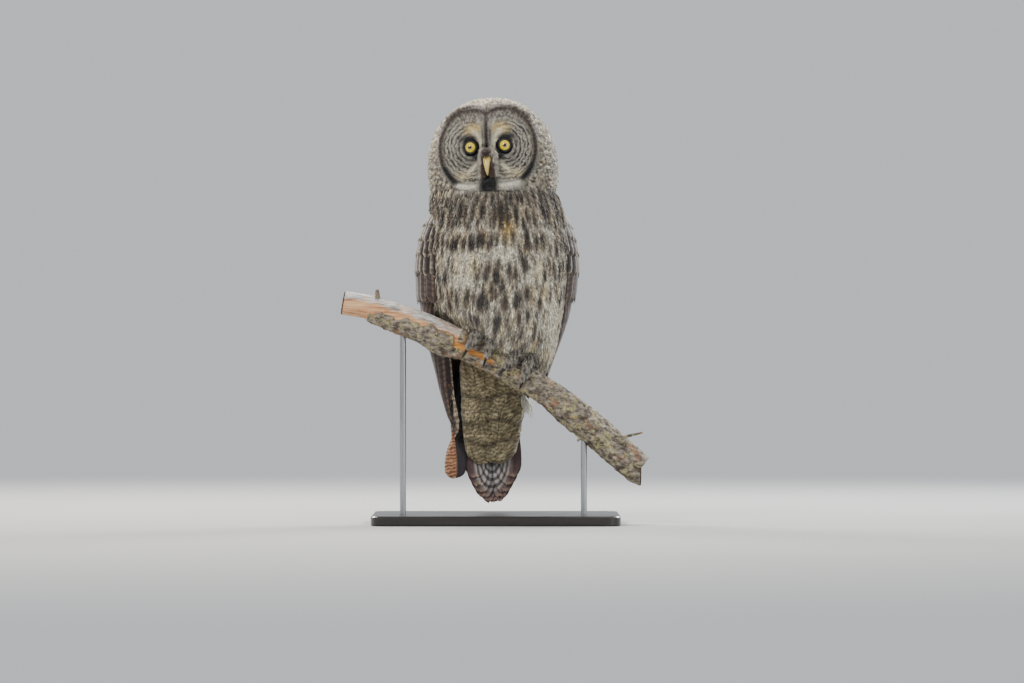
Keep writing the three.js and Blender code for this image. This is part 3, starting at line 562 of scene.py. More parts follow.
def tufts(name, p, n, d, bake, length, width, material, slot,
          locks=5, rings=3, sunk=5.0, lift=1.0, spread=0.3, shade=0.12, colour_of=coat_colour):
    """Small soft feathers, each a fan of locks rooted under the surface and rising to it."""
    total = len(p)
    n, d = unit(n), unit(d - np.sum(d * unit(n), -1, keepdims=True) * unit(n))
    s = np.cross(n, d)
    length = np.broadcast_to(length, total) * rng.uniform(0.85, 1.15, total)
    width = np.broadcast_to(width, total) * rng.uniform(0.9, 1.1, total)
    lift = np.broadcast_to(lift, total) + rng.normal(0, 0.25, total)
    tone = rng.normal(1, shade, (total, 1))
    f = np.linspace(-1, 1, locks)[None, :] + rng.uniform(-0.3, 0.3, (total, locks)) / locks
    long = length[:, None] * (1 - 0.25 * f * f) * rng.uniform(0.82, 1.1, (total, locks))
    tone = tone * rng.normal(1, shade * 0.5, (total, locks))
    way = d[:, None] + s[:, None] * (f * spread)[..., None]
    way = unit(way + n[:, None] * rng.normal(0, 0.03, (total, locks, 1)))
    edge = np.cross(n[:, None], way)
    root = p[:, None] + s[:, None] * (f * width[:, None] * 0.2)[..., None] - n[:, None] * sunk
    half = width[:, None] / locks * 0.85
    shares, widths = LOCK_RINGS[rings]
    points, feather = [], []

    def centre(t):
        up = (sunk + lift[:, None]) * (1 - (1 - t) ** 1.8)
        return root + way * (long * t)[..., None] + n[:, None] * up[..., None]

    for t, w in zip(shares, widths):
        for u in (-1, 0, 1):
            ridge = n[:, None] * (0.35 * half * w * (u == 0))[..., None]
            points.append(centre(t) + edge * (half * w * u)[..., None] + ridge)
            feather.append(np.stack([0.5 + 0.5 * (f + u / locks), np.full_like(f, t)], -1))
    points.append(centre(1.0))
    feather.append(np.stack([0.5 + 0.5 * f, np.ones_like(f)], -1))
    points = np.stack(points, 2)
    feather = np.stack(feather, 2)
    colour, strength, count = colour_of(points)
    colour = colour * tone[:, :, None, None]
    patch = bake[:, None, None, :] + (feather - 0.5) * PATCH
    per_lock = points.shape[2]
    faces = lock_faces(rings)
    group = max(1, LIMIT // (len(faces) * locks))
    made = []
    for part, start in enumerate(range(0, total, group)):
        cut = slice(start, min(start + group, total))
        many = (cut.stop - cut.start) * locks
        triangles = (faces[None] + (np.arange(many) * per_lock)[:, None, None]).reshape(-1, 3)
        flat = [a[cut].reshape(-1, a.shape[-1]) for a in (points, feather, patch, colour)]
        scalars = [a[cut].reshape(-1) for a in (strength, count)]
        made.append(piece_from(f"{name}_{part + 1}", flat[0], triangles, *flat[1:], *scalars, material, slot))
    return made


# Flight feathers, as fine closed vanes

TILT = 0.8
VANE = {"rows": 16, "columns": 9, "thickness": 0.55, "shaft": 0.45, "ripple": 0.12, "ragged": 1.2}
VANE_UNWRAP = {"turns": 4, "height": 600}


def vane_width(t, rounded, opens):
    """The share of a feather's width along it. It opens from a narrow start, and its end is rounded off."""
    start, end, narrow = opens
    opening = narrow + (1 - narrow) * step(t, start, end)
    tip = np.sqrt(np.maximum(1 - (np.maximum(t - rounded, 0) / (1.003 - rounded)) ** 2, 0.02))
    return opening * tip


def vane(place, line, width, side, tile_name, colour_of, tilt=TILT, centre=trunk_axis, rounded=0.75,
         opens=(0.0, 0.4, 0.5)):
    """One feather over a surface, along line(t) = u, v and lift: a closed section with a shaft."""
    rows, columns = VANE["rows"], VANE["columns"]
    t = 1 - (1 - np.linspace(0, 1, rows)) ** 1.7
    u0, v0, lift = line(t)
    reach = np.linalg.norm(place(u0 + 0.01, v0) - place(u0 - 0.01, v0), axis=-1) / 0.02
    half = width / 2 * vane_width(t, rounded, opens) / reach
    u = np.linspace(-1, 1, columns)
    ragged = rng.normal(0, VANE["ragged"], columns)[None] * step(t, 0.8, 1)[:, None]
    across = u0[:, None] + u[None] * half[:, None]
    down = v0[:, None] - ragged
    p, n, _ = surface(place, across, down, centre)
    height = lift[:, None] + tilt * u + VANE["shaft"] * bump(u, 0, 0.14) * (1 - t[:, None] * 0.7)
    height = height + VANE["ripple"] * np.sin(30 * u[None] + 9 * t[:, None])
    thick = VANE["thickness"] * (1 - 0.5 * t[:, None])
    top = p + n * (height + thick / 2)[..., None]
    bottom = p + n * (height - thick / 2)[..., None]
    ring = np.concatenate([top, bottom[:, ::-1]], 1)
    if side < 0:
        ring = ring * np.array([-1, 1, 1])
    uu = np.broadcast_to(np.concatenate([u, u[::-1]]), (rows, 2 * columns))
    tt = np.broadcast_to(t[:, None], uu.shape)
    around = 2 * columns
    quads = []
    for k in range(rows - 1):
        for j in range(around):
            a, b = k * around + j, k * around + (j + 1) % around
            quads.append([a, b, b + around, a + around])
    for k in (0, rows - 1):
        for j in range(columns - 1):
            a, b = k * around + j, k * around + around - 1 - j
            quad = [a, a + 1, b - 1, b]
            quads.append(quad[::-1] if k == 0 else quad)
    quads = np.array(quads)
    if side < 0:
        quads = quads[:, ::-1]
    triangles = np.concatenate([quads[:, [0, 1, 2]], quads[:, [0, 2, 3]]])
    turn, high = (u0[0] / VANE_UNWRAP["turns"] + 0.5) % 1, v0[0] / VANE_UNWRAP["height"]
    bake = tile(tile_name, np.full(uu.shape, turn), np.full(uu.shape, high))
    bake = bake + np.stack([uu * 0.5, tt - 0.5], -1) * PATCH
    colour, strength, count = colour_of(uu, tt, ring)
    flat = [a.reshape(-1, a.shape[-1]) for a in (ring, np.stack([uu * 0.5 + 0.5, tt], -1), bake, colour)]
    return flat[0], triangles, *flat[1:], strength.ravel(), count.ravel()


def joined(name, vanes, material, slot):
    """Vanes joined into one piece."""
    offset, triangles = 0, []
    for made in vanes:
        triangles.append(made[1] + offset)
        offset += len(made[0])
    arrays = [np.concatenate([made[k] for made in vanes]) for k in (0, 2, 3, 4, 5, 6)]
    return piece_from(name, arrays[0], np.concatenate(triangles), *arrays[1:], material, slot)


def rise(t, cover, sunk=6.0, under=1.8):
    """How high a feather lies: rooted deep, under the tips of the row before, then up to the surface."""
    emerged = -sunk + (sunk - under) * step(t, 0, cover)
    return emerged + under * step(t, cover, 1)


def row_of(place, spec, side, tile_name, colour_of):
    """A row of feathers from the first to the last, each end given as [angle, height] of its root and tip."""
    made = []
    count = spec["count"]
    for k in range(count):
        f = k / (count - 1)
        root, tip = (np.array(spec[end][0]) * (1 - f) + np.array(spec[end][1]) * f for end in ("root", "tip"))
        tip[1] += rng.uniform(-3, 3)
        tip[0] += rng.uniform(-2.2, 2.2)
        offset = spec.get("raised", 0) - spec.get("layer", 0) * (count - 1 - k)

        def line(t, root=root, tip=tip, offset=offset):
            angle = np.radians(root[0] + (tip[0] - root[0]) * t)
            return angle, root[1] + (tip[1] - root[1]) * t, rise(t, spec.get("cover", 0.3)) + offset

        made.append(vane(place, line, spec["width"], side, tile_name, colour_of))
    return made


# Materials


class Shader:
    """A material's nodes, made by short calls that return sockets."""

    def __init__(self, name):
        self.material = bpy.data.materials.new(name)
        self.material.use_nodes = True
        self.tree = self.material.node_tree
        self.surface = self.tree.nodes["Principled BSDF"]

    def node(self, kind, inputs=None, output=0, **settings):
        made = self.tree.nodes.new(kind)
        for key, value in settings.items():
            setattr(made, key, value)
        for key, value in (inputs or {}).items():
            self.feed(made.inputs[key], value)
        return made.outputs[output]

    def feed(self, socket, value):
        if isinstance(value, bpy.types.NodeSocket):
            self.tree.links.new(value, socket)
        else:
            socket.default_value = value

    def math(self, operation, a, b=0.0, c=0.0, clamp=False):
        return self.node("ShaderNodeMath", {0: a, 1: b, 2: c}, operation=operation, use_clamp=clamp)

    def vector(self, operation, a, b, output=0):
        return self.node("ShaderNodeVectorMath", {0: a, 1: b}, output, operation=operation)

    def noise(self, where, scale, detail=3.0, roughness=0.55):
        return self.node("ShaderNodeTexNoise",
                         {"Vector": where, "Scale": scale, "Detail": detail, "Roughness": roughness})

    def stretched(self, where, scale, turn=(0, 0, 0)):
        return self.node("ShaderNodeMapping", {"Vector": where, "Scale": scale, "Rotation": turn})

    def between(self, value, low, high, to_low=0.0, to_high=1.0):
        return self.node("ShaderNodeMapRange", {0: value, 1: low, 2: high, 3: to_low, 4: to_high},
                         interpolation_type="SMOOTHSTEP")

    def swing(self, value, amount):
        """A noise turned into a push to either side."""
        return self.math("MULTIPLY", self.math("SUBTRACT", value, 0.5), amount)

    def blend(self, share, a, b, how="MIX"):
        return self.node("ShaderNodeMix", {0: share, 6: a, 7: b}, 2, data_type="RGBA", blend_type=how)

    def toned(self, colour, factor):
        """A colour made lighter or darker by a factor."""
        grey = self.node("ShaderNodeCombineColor", {0: factor, 1: factor, 2: factor})
        return self.blend(1.0, colour, grey, "MULTIPLY")

    def ramp(self, value, stops):
        socket = self.node("ShaderNodeValToRGB", {0: value})
        ramp = socket.node.color_ramp
        while len(ramp.elements) < len(stops):
            ramp.elements.new(0.5)
        for element, (at, colour) in zip(ramp.elements, stops):
            element.position = at
            element.color = (*linear(colour), 1)
        return socket

    def bump(self, height, strength, distance):
        return self.node("ShaderNodeBump", {"Height": height, "Strength": strength, "Distance": distance})

    def finish(self, **inputs):
        """The surface's own sockets, named with _ for a space: a socket is linked, and a number is set."""
        for key, value in inputs.items():
            self.feed(self.surface.inputs[key.replace("_", " ")], value)
        return self.material


def here(shader):
    """Object coordinates."""
    return shader.node("ShaderNodeTexCoord", output=3)


def rgb(colour):
    return (*linear(colour), 1)


def plumage(name, barbs=1.0, roughness=0.78, wander=1.9):
    """The coat: its own colours, rings or bars of the wave, fine barbs along each feather, and mottling."""
    s = Shader(name)
    coat = s.node("ShaderNodeAttribute", attribute_name="Coat")
    strength = coat.node.outputs["Alpha"]
    wave = s.node("ShaderNodeAttribute", attribute_name="Wave", output=2)
    place = here(s)
    wobble = s.swing(s.noise(place, 150.0, 2.0), wander)
    turns = s.math("MULTIPLY", s.math("ADD", wave, wobble), 2 * math.pi)
    band = s.between(s.math("SINE", turns), -0.35, 0.45)
    dark = s.math("MULTIPLY", band, strength, clamp=True)
    colour = s.blend(dark, coat, rgb((0.12, 0.10, 0.09)))
    uv = s.node("ShaderNodeUVMap", uv_map="Feather")
    threads = s.noise(s.stretched(uv, (46.0, 5.0, 1.0), (0, 0, 0.25)), 1.0, 2.0)
    tone = s.between(threads, 0.25, 0.75, 1 - 0.3 * barbs, 1 + 0.26 * barbs)
    speckle = s.between(s.noise(place, 420.0, 3.0), 0.3, 0.7, 0.86, 1.12)
    colour = s.toned(colour, s.math("MULTIPLY", tone, speckle))
    return s.finish(Base_Color=colour, Roughness=roughness, Normal=s.bump(threads, 0.35, 0.0006),
                    Sheen_Weight=0.25, Sheen_Roughness=0.5, Specular_IOR_Level=0.25)


def eye_material(name, centre, gaze):
    """A yellow iris with fine spokes, a dark edge and a small pupil, by distance from the line of sight."""
    s = Shader(name)
    away = s.vector("SUBTRACT", here(s), tuple(centre))
    ring = s.vector("CROSS_PRODUCT", away, tuple(gaze))
    out = s.math("MULTIPLY", s.vector("LENGTH", ring, (0, 0, 0), 1), 1000.0)
    spokes = s.noise(s.vector("NORMALIZE", ring, (0, 0, 0)), 14.0, 4.0)
    share = s.math("DIVIDE", s.math("ADD", out, s.swing(spokes, 0.5)), 12.0)
    colours = s.ramp(share, [(0.0, (0.01, 0.01, 0.01)), (0.2, (0.015, 0.01, 0.01)), (0.235, (0.5, 0.32, 0.0)),
                             (0.32, (0.86, 0.74, 0.0)), (0.6, (0.90, 0.82, 0.0)), (0.66, (0.58, 0.48, 0.0)),
                             (0.72, (0.03, 0.025, 0.02))])
    colour = s.toned(colours, s.between(spokes, 0.3, 0.7, 0.78, 1.1))
    return s.finish(Base_Color=colour, Roughness=0.12, Coat_Weight=1.0, Coat_Roughness=0.02,
                    Specular_IOR_Level=0.6)


def horn(name, low, high, start, end, roughness):
    """Horn that changes colour with height along the piece, with fine growth lines."""
    s = Shader(name)
    place = here(s)
    height = s.node("ShaderNodeSeparateXYZ", {0: place}, 2)
    share = s.between(height, start, end)
    lines = s.noise(s.stretched(place, (900.0, 900.0, 160.0)), 1.0, 3.0)
    cloud = s.noise(place, 260.0, 3.0)
    colour = s.blend(share, rgb(low), rgb(high))
    colour = s.blend(s.between(lines, 0.45, 0.75, 0.0, 0.35), colour, rgb(tuple(c * 0.6 for c in low)))
    colour = s.blend(s.between(cloud, 0.4, 0.7, 0.0, 0.25), colour, rgb((0.9, 0.86, 0.74)))
    rough = s.between(cloud, 0.3, 0.7, roughness * 0.8, roughness * 1.3)
    return s.finish(Base_Color=colour, Roughness=rough, Normal=s.bump(lines, 0.25, 0.0004), Coat_Weight=0.2)


# Finishes of one fine grain: how it is stretched, its detail, colours, range of roughness and relief
GRAINED = {
    "claw_horn": {"stretch": (500, 500, 900), "detail": 3, "rough": (0.22, 0.42), "relief": (0.2, 0.0003),
                  "stops": [(0.3, (0.05, 0.045, 0.045)), (0.7, (0.17, 0.15, 0.14))], "metal": 0},
    "lid_skin": {"stretch": (1500, 1500, 1500), "detail": 4, "rough": (0.5, 0.5), "relief": (0.5, 0.0004),
                 "stops": [(0.3, (0.02, 0.02, 0.02)), (0.7, (0.10, 0.09, 0.085))], "metal": 0},
    "rod_steel": {"stretch": (2400, 2400, 12), "detail": 3, "rough": (0.24, 0.4), "relief": (0.1, 0.0002),
                  "stops": [(0.3, (0.55, 0.56, 0.57)), (0.7, (0.76, 0.77, 0.78))], "metal": 1},
}


def grained(name):
    look = GRAINED[name]
    s = Shader(name)
    grain = s.noise(s.stretched(here(s), look["stretch"]), 1.0, look["detail"])
    rough = s.between(grain, 0.3, 0.7, *look["rough"])
    return s.finish(Base_Color=s.ramp(grain, look["stops"]), Roughness=rough, Metallic=look["metal"],
                    Normal=s.bump(grain, *look["relief"]))


BRANCH_LIE = (0, 0.48, 0)  # the turn that lays a grain along the branch


def branch_material():
    """Peeled wood, weathered grey on top, and grey bark with lichen. Attribute Bark tells them apart."""
    s = Shader("branch_wood")
    place = here(s)
    share = s.node("ShaderNodeAttribute", attribute_name="Bark")
    parts = s.node("ShaderNodeSeparateColor", {0: share})
    bark, top, strip = (parts.node.outputs[k] for k in (0, 1, 2))
    grain = s.noise(s.stretched(place, (14.0, 260.0, 260.0), BRANCH_LIE), 1.0, 5.0, 0.6)
    fibres = s.noise(s.stretched(place, (30.0, 900.0, 900.0), BRANCH_LIE), 1.0, 4.0)
    fresh = s.ramp(grain, [(0.3, (0.52, 0.34, 0.22)), (0.5, (0.78, 0.58, 0.40)), (0.72, (0.88, 0.74, 0.58))])
    bright = s.ramp(grain, [(0.3, (0.46, 0.28, 0.12)), (0.5, (0.76, 0.51, 0.22)), (0.75, (0.88, 0.68, 0.38))])
    fresh = s.blend(strip, fresh, bright)
    grey = s.ramp(grain, [(0.3, (0.42, 0.40, 0.38)), (0.5, (0.70, 0.69, 0.67)), (0.75, (0.90, 0.89, 0.86))])
    patchy = s.noise(place, 34.0, 4.0)
    weather = s.math("MULTIPLY", top, s.between(patchy, 0.3, 0.55, 0.6, 1.0), clamp=True)
    wood = s.blend(weather, fresh, grey)
    wood = s.blend(s.math("MULTIPLY", s.between(fibres, 0.62, 0.72), 0.55), wood, rgb((0.22, 0.14, 0.09)))
    rough_bark = s.noise(s.stretched(place, (70.0, 150.0, 150.0), BRANCH_LIE), 1.0, 7.0, 0.68)
    plates = s.ramp(rough_bark, [(0.3, (0.13, 0.11, 0.10)), (0.44, (0.33, 0.30, 0.27)),
                                 (0.56, (0.54, 0.50, 0.45)), (0.72, (0.78, 0.74, 0.67))])
    lichen = s.between(s.noise(place, 85.0, 7.0, 0.75), 0.5, 0.6)
    green = s.ramp(s.noise(place, 300.0, 4.0), [(0.3, (0.45, 0.42, 0.27)), (0.7, (0.80, 0.76, 0.56))])
    plates = s.blend(s.math("MULTIPLY", lichen, 0.8), plates, green)
    rust = s.between(s.noise(s.vector("ADD", place, (3.0, 1.0, 2.0)), 60.0, 5.0), 0.55, 0.68, 0.0, 0.6)
    plates = s.blend(rust, plates, rgb((0.56, 0.38, 0.24)))
    torn = s.math("ADD", bark, s.swing(s.noise(place, 320.0, 4.0), 0.5))
    barked = s.between(torn, 0.4, 0.6)
    colour = s.blend(barked, wood, plates)
    height = s.blend(barked, s.math("MULTIPLY", fibres, 0.25), rough_bark)
    return s.finish(Base_Color=colour, Roughness=s.between(bark, 0.2, 0.8, 0.62, 0.93),
                    Normal=s.bump(height, 0.8, 0.003))


def cut_material():
    """The sawn ends: rings round the pith, with a dark edge of bark."""
    s = Shader("branch_end")
    place = here(s)
    centre = s.node("ShaderNodeAttribute", attribute_name="Bark", output=0)
    radius = s.node("ShaderNodeSeparateColor", {0: centre})
    wobble = s.noise(place, 120.0, 3.0)
    turns = s.math("MULTIPLY", s.math("ADD", radius, s.math("MULTIPLY", wobble, 0.08)), 70.0)
    rings = s.math("SINE", turns)
    colour = s.ramp(s.between(rings, -1.0, 1.0), [(0.0, (0.56, 0.42, 0.28)), (1.0, (0.78, 0.65, 0.48))])
    colour = s.blend(s.between(radius, 0.82, 0.9), colour, rgb((0.24, 0.18, 0.14)))
    return s.finish(Base_Color=colour, Roughness=0.85, Normal=s.bump(rings, 0.2, 0.0008))


def lacquer():
    """The stand's base: dark stained wood under satin lacquer."""
    s = Shader("base_lacquer")
    place = here(s)
    grain = s.noise(s.stretched(place, (9.0, 170.0, 170.0)), 1.0, 6.0, 0.62)
    colour = s.ramp(grain, [(0.3, (0.06, 0.045, 0.038)), (0.55, (0.115, 0.085, 0.066)),
                            (0.75, (0.17, 0.125, 0.095))])
    rough = s.between(s.noise(place, 30.0, 3.0), 0.3, 0.7, 0.28, 0.35)
    return s.finish(Base_Color=colour, Roughness=rough, Normal=s.bump(grain, 0.12, 0.0005), Coat_Weight=0.3,
                    Coat_Roughness=0.18)


# Making and finishing pieces as by hand


def deselect():
    for obj in bpy.context.view_layer.objects:
        obj.select_set(False)


def activate(obj):
    deselect()
    obj.select_set(True)
    bpy.context.view_layer.objects.active = obj


def settle(obj):
    """Places the object's turn and place in its mesh."""
    activate(obj)
    bpy.ops.object.transform_apply(location=True, rotation=True, scale=True)


def apply_all(obj):
    activate(obj)
    for modifier in list(obj.modifiers):
        bpy.ops.object.modifier_apply(modifier=modifier.name)


def edit_whole(obj, *operators):
    """Runs edit-mode operators, each with its settings, from all of a mesh selected."""
    activate(obj)
    bpy.ops.object.mode_set(mode="EDIT")
    bpy.ops.mesh.select_all(action="SELECT")
    for operator, settings in operators:
        operator(**settings)
    bpy.ops.object.mode_set(mode="OBJECT")


def recast(obj, voxel, passes, factor=0.5):
    """Gives a solid modifiers that make it one even closed form and ease its facets."""
    form = obj.modifiers.new("Even form", "REMESH")
    form.mode = "VOXEL"
    form.voxel_size = voxel
    ease = obj.modifiers.new("Ease", "SMOOTH")
    ease.iterations = passes
    ease.factor = factor


def keep(obj, name, material, slot, *nodes):
    obj.name = name
    obj.data.name = name
    obj.data.materials.clear()
    obj.data.materials.append(material)
    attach(obj, "root")
    if nodes:
        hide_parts(*nodes)
    return obj


def copies_of(nodes, name):
    """One object from copies of nodes' meshes, with their corners merged."""
    made = []
    for node in nodes:
        source = frame["nodes"][node]
        obj = bpy.data.objects.new(name, source.data.copy())
        obj.matrix_world = source.matrix_world.copy()
        bpy.context.scene.collection.objects.link(obj)
        made.append(obj)
    deselect()
    for obj in made:
        obj.select_set(True)
    bpy.context.view_layer.objects.active = made[0]
    if len(made) > 1:
        bpy.ops.object.join()
    settle(made[0])
    edit_whole(made[0], (bpy.ops.mesh.remove_doubles, {"threshold": 0.00002}))
    return made[0]


def smooth_shade(obj):
    activate(obj)
    bpy.ops.object.shade_smooth()


# The skin: one closed form under the whole coat

FLESH = ["head", "neck", "torso", "undertail_coverts", "wing_left", "wing_right",
         "leg_left", "leg_right", "foot_left", "foot_right"]


def make_skin(material):
    skin = copies_of(FLESH, "skin")
    recast(skin, 0.0036, 6, 0.6)
    shrink = skin.modifiers.new("Under the coat", "DISPLACE")
    shrink.strength = -COAT_DEPTH * MM * 0.9
    shrink.mid_level = 0.0
    apply_all(skin)
    mesh = skin.data
    count = len(mesh.vertices)
    co = np.empty(count * 3)
    mesh.vertices.foreach_get("co", co)
    points = moved(BIRD.inverted(), co.reshape(-1, 3) / MM)
    colour, strength, waves = coat_colour(points)
    low = 1 - step(points[:, 2], 225, 260)
    wing = step(np.abs(points[:, 0]), 106, 112) * (points[:, 2] < 480)
    colour = painted(colour * 0.8, (BROWN, 0.8 * low), (PLUM, wing))
    colour_in(mesh, colour, strength * (1 - wing), waves)
    corners = np.empty(len(mesh.loops), np.int32)
    mesh.loops.foreach_get("vertex_index", corners)
    round_axis = np.arctan2(points[:, 0], TRUNK_Y - points[:, 1]) / (2 * math.pi) + 0.5
    unwrap = np.stack([round_axis * 4, points[:, 2] / 120], -1)
    uv_map(mesh, "Feather", unwrap[corners])
    smooth_shade(skin)
    return keep(skin, "skin", material, "body_feathers", *FLESH)


# The coat


def bake_places(name, u, v, u_range, v_range):
    a = (u - u_range[0]) / (u_range[1] - u_range[0])
    b = (v - v_range[0]) / (v_range[1] - v_range[0])
    return tile(name, a, b)


def coat_breast(material):
    """Breast, belly and flanks, streaked, longest low down."""
    u_range, v_range = (-math.pi + 0.5, -0.5), (244, 515)
    u, v = scatter(body_place, u_range, v_range, 4.9)
    p, n, d = surface(body_place, u, v, trunk_axis)
    bake = bake_places("body", u, v, u_range, v_range)
    low = 1 - step(v, 270, 380)
    length = 23 + 12 * low
    d = d + np.stack([0.05 * np.sign(p[:, 0]) * step(np.abs(p[:, 0]), 20, 90), 0 * v, 0 * v], -1)
    return tufts("coat_breast", p, n, d, bake, length, 11.5, material, "body_feathers", sunk=6.0,
                 lift=0.8 + 1.2 * low)


def coat_sides(material):
    """The sides of the body that show between breast and wing, and the mantle between the wings."""
    made = []
    for name, u_range, v_range in (("coat_side_left", (-0.5, 0.2), (250, 514)),
                                   ("coat_side_right", (math.pi - 0.2, math.pi + 0.5), (250, 516)),
                                   ("coat_mantle", (0.15, math.pi - 0.15), (372, 516)),
                                   ("coat_rump", (1.0, math.pi - 1.0), (236, 372))):
        u, v = scatter(body_place, u_range, v_range, 6.4)
        p, n, d = surface(body_place, u, v, trunk_axis)
        bake = bake_places("back", u, v, (-0.6, math.pi + 0.6), v_range)
        made += tufts(name, p, n, d, bake, 27, 14, material, "body_feathers", sunk=6.0, lift=1.0)
    return made


def coat_nape(material):
    """Crown, sides and back of the head, mottled, pointing back and down from the face."""
    u_range, v_range = (-math.pi, math.pi), (0.86, 1.995)
    u, v = scatter(head_place, u_range, v_range, 4.0, passes=6)
    p, n, _ = surface(head_place, u, v, HEAD_AT, dv=0.004)
    keep_it = p[:, 2] > 488
    u, v, p, n = u[keep_it], v[keep_it], p[keep_it], n[keep_it]
    ruff = 1 - step(p[:, 2], 500, 535)
    from_face = p - moved(HEAD, np.array([[0.0, -100.0, 30.0]]))
    d = unit(from_face) + np.array([0, 0, -0.75]) * step(v, 1.0, 1.4)[:, None]
    bake = bake_places("nape", u, v, u_range, v_range)
    d = d + np.array([0, 0, -1.2]) * ruff[:, None]
    return tufts("coat_nape", p, n, d, bake, 15 + 4 * step(v, 1.2, 1.8) + 14 * ruff, 8.5, material,
                 "face_feathers", sunk=5.0, lift=0.8 + 1.5 * ruff, shade=0.1)


def face_direction(h):
    """Which way the face's feathers point, in the head's frame: out from each eye, and down by the bill."""
    x, z = h[:, 0], h[:, 2]
    side = np.where(x < 0, -1.0, 1.0)
    out = unit(np.stack([x - side * EYE["x"], 0 * x, z - EYE["z"]], -1))
    near_bill = bump(x, 0, 13) * (1 - step(z, 26, 44))
    down = np.stack([0.45 * side, -0.25 + 0 * x, -1 + 0 * x], -1)
    between = bump(x, 0, 10) * step(z, 26, 44)
    up = np.stack([0.5 * side, 0 * x, 1 + 0 * x], -1)
    low = step(-z, 12, 22)
    d = out * (1 - near_bill)[:, None] + down * near_bill[:, None]
    d = d * (1 - between)[:, None] + up * between[:, None]
    under = np.stack([0.5 * side * step(np.abs(x), 8, 20), 0 * x, -1 + 0 * x], -1)
    return d * (1 - low)[:, None] + under * low[:, None]


def coat_face(material):
    """The facial discs, in fine short feathers."""
    u_range, v_range = (-math.pi, math.pi), (0.02, 0.9)
    u, v = scatter(head_place, u_range, v_range, 2.7)
    p, n, _ = surface(head_place, u, v, HEAD_AT, dv=0.004)
    h = moved(HEAD.inverted(), p)
    x, z = h[:, 0], h[:, 2]
    from_eye = np.hypot(np.abs(x) - EYE["x"], z - EYE["z"])
    on_bill = (np.abs(x) < 5.5) & (z > -16) & (z < 22)
    keep_it = (from_eye > 11.5) & ~on_bill & (p[:, 2] > 492)
    u, v, p, n, h = u[keep_it], v[keep_it], p[keep_it], n[keep_it], h[keep_it]
    turn = np.array(HEAD)[:3, :3]
    d = face_direction(h) @ turn.T
    length = 7.5 + 4.5 * step(-h[:, 2], 10, 26) + 12 * step(-h[:, 2], 28, 44)
    length = length + 3 * bump(h[:, 0], 0, 12) * bump(h[:, 2], 2, 16)
    bake = bake_places("head", u, v, u_range, v_range)
    return tufts("coat_face", p, n, d, bake, length, 4.2, material, "face_feathers",
                 locks=3, rings=2, sunk=3.0, lift=0.7, spread=0.25, shade=0.07)


def coat_legs(material):
    """Loose feathers round the tops of the feet, and short ones along each toe to its claw."""
    made = []
    for word, foot_x, outward in (("right", -29, -1), ("left", 31, 1)):
        for toe in TOES:
            def place(u, v, toe=toe, foot_x=foot_x, outward=outward):
                return toe_place(u, v, toe, foot_x, outward)
            u, v = scatter(place, (-math.pi, math.pi), (0.0, 0.97), 3.0)
            p, n, d = surface(place, u, v, lambda q, v=v: toe_centre(v, toe, foot_x, outward), dv=-0.02)
            bake = bake_places("toes", u, v, (-math.pi, math.pi), (0, 1))
            loose = (1 - v) ** 1.5
            name = f"coat_toe_{word}_{toe['name']}"
            made += tufts(name, p, n, d, bake, 6.0 + 15 * loose, 3.2 + 3.5 * loose,
                          material, "toe_feathers", locks=3, rings=3, sunk=2.0, lift=0.5 + 4 * loose,
                          spread=0.35, colour_of=toe_colour)
    return made


WISPS = {
    "white": {"count": 16, "from": [46, 44, 186], "to": [58, 30, 168], "aside": 0.14, "length": 34,
              "colour": WHITE, "unwrap": 0.9},
    "dark": {"count": 26, "from": [-64, 72, 205], "to": [-52, 72, 205], "aside": 0.0, "length": 74,
             "colour": (0.05, 0.04, 0.045), "unwrap": 0.1},
}


def coat_wisps(material):
    """Loose feathers of the flanks, hanging past the branch: white on the bird's left, dark on its right."""
    for word, wisp in WISPS.items():
        count = wisp["count"]
        share = np.linspace(0, 1, count)[:, None]
        p = np.array(wisp["from"]) * (1 - share) + np.array(wisp["to"]) * share
        n = np.tile([0.8, -0.6, 0.0], (count, 1))
        d = np.tile([wisp["aside"], -0.02, -1.0], (count, 1)) + rng.normal(0, 0.05, (count, 3))
        bake = tile("leg", share[:, 0], wisp["unwrap"] + 0 * share[:, 0])
        tufts(f"coat_wisps_{word}", p, n, d, bake, wisp["length"], 7.0, material, "body_feathers",
              sunk=3.0, lift=1.5, colour_of=one_colour(wisp["colour"]))


def toe_colour(p):
    x, z = p[..., 0], p[..., 2]
    colour = painted(mix(PALE, GREY, 0.6), (DARK, 0.9 * blotches(x, z, 6, 11, 31) + 0.12))
    return colour, np.zeros_like(z), np.zeros_like(z)


BRISTLES = {"rows": 11, "columns": 5, "inner": 4.6, "outer": 11.0, "top": 28.0, "low": -6.0}


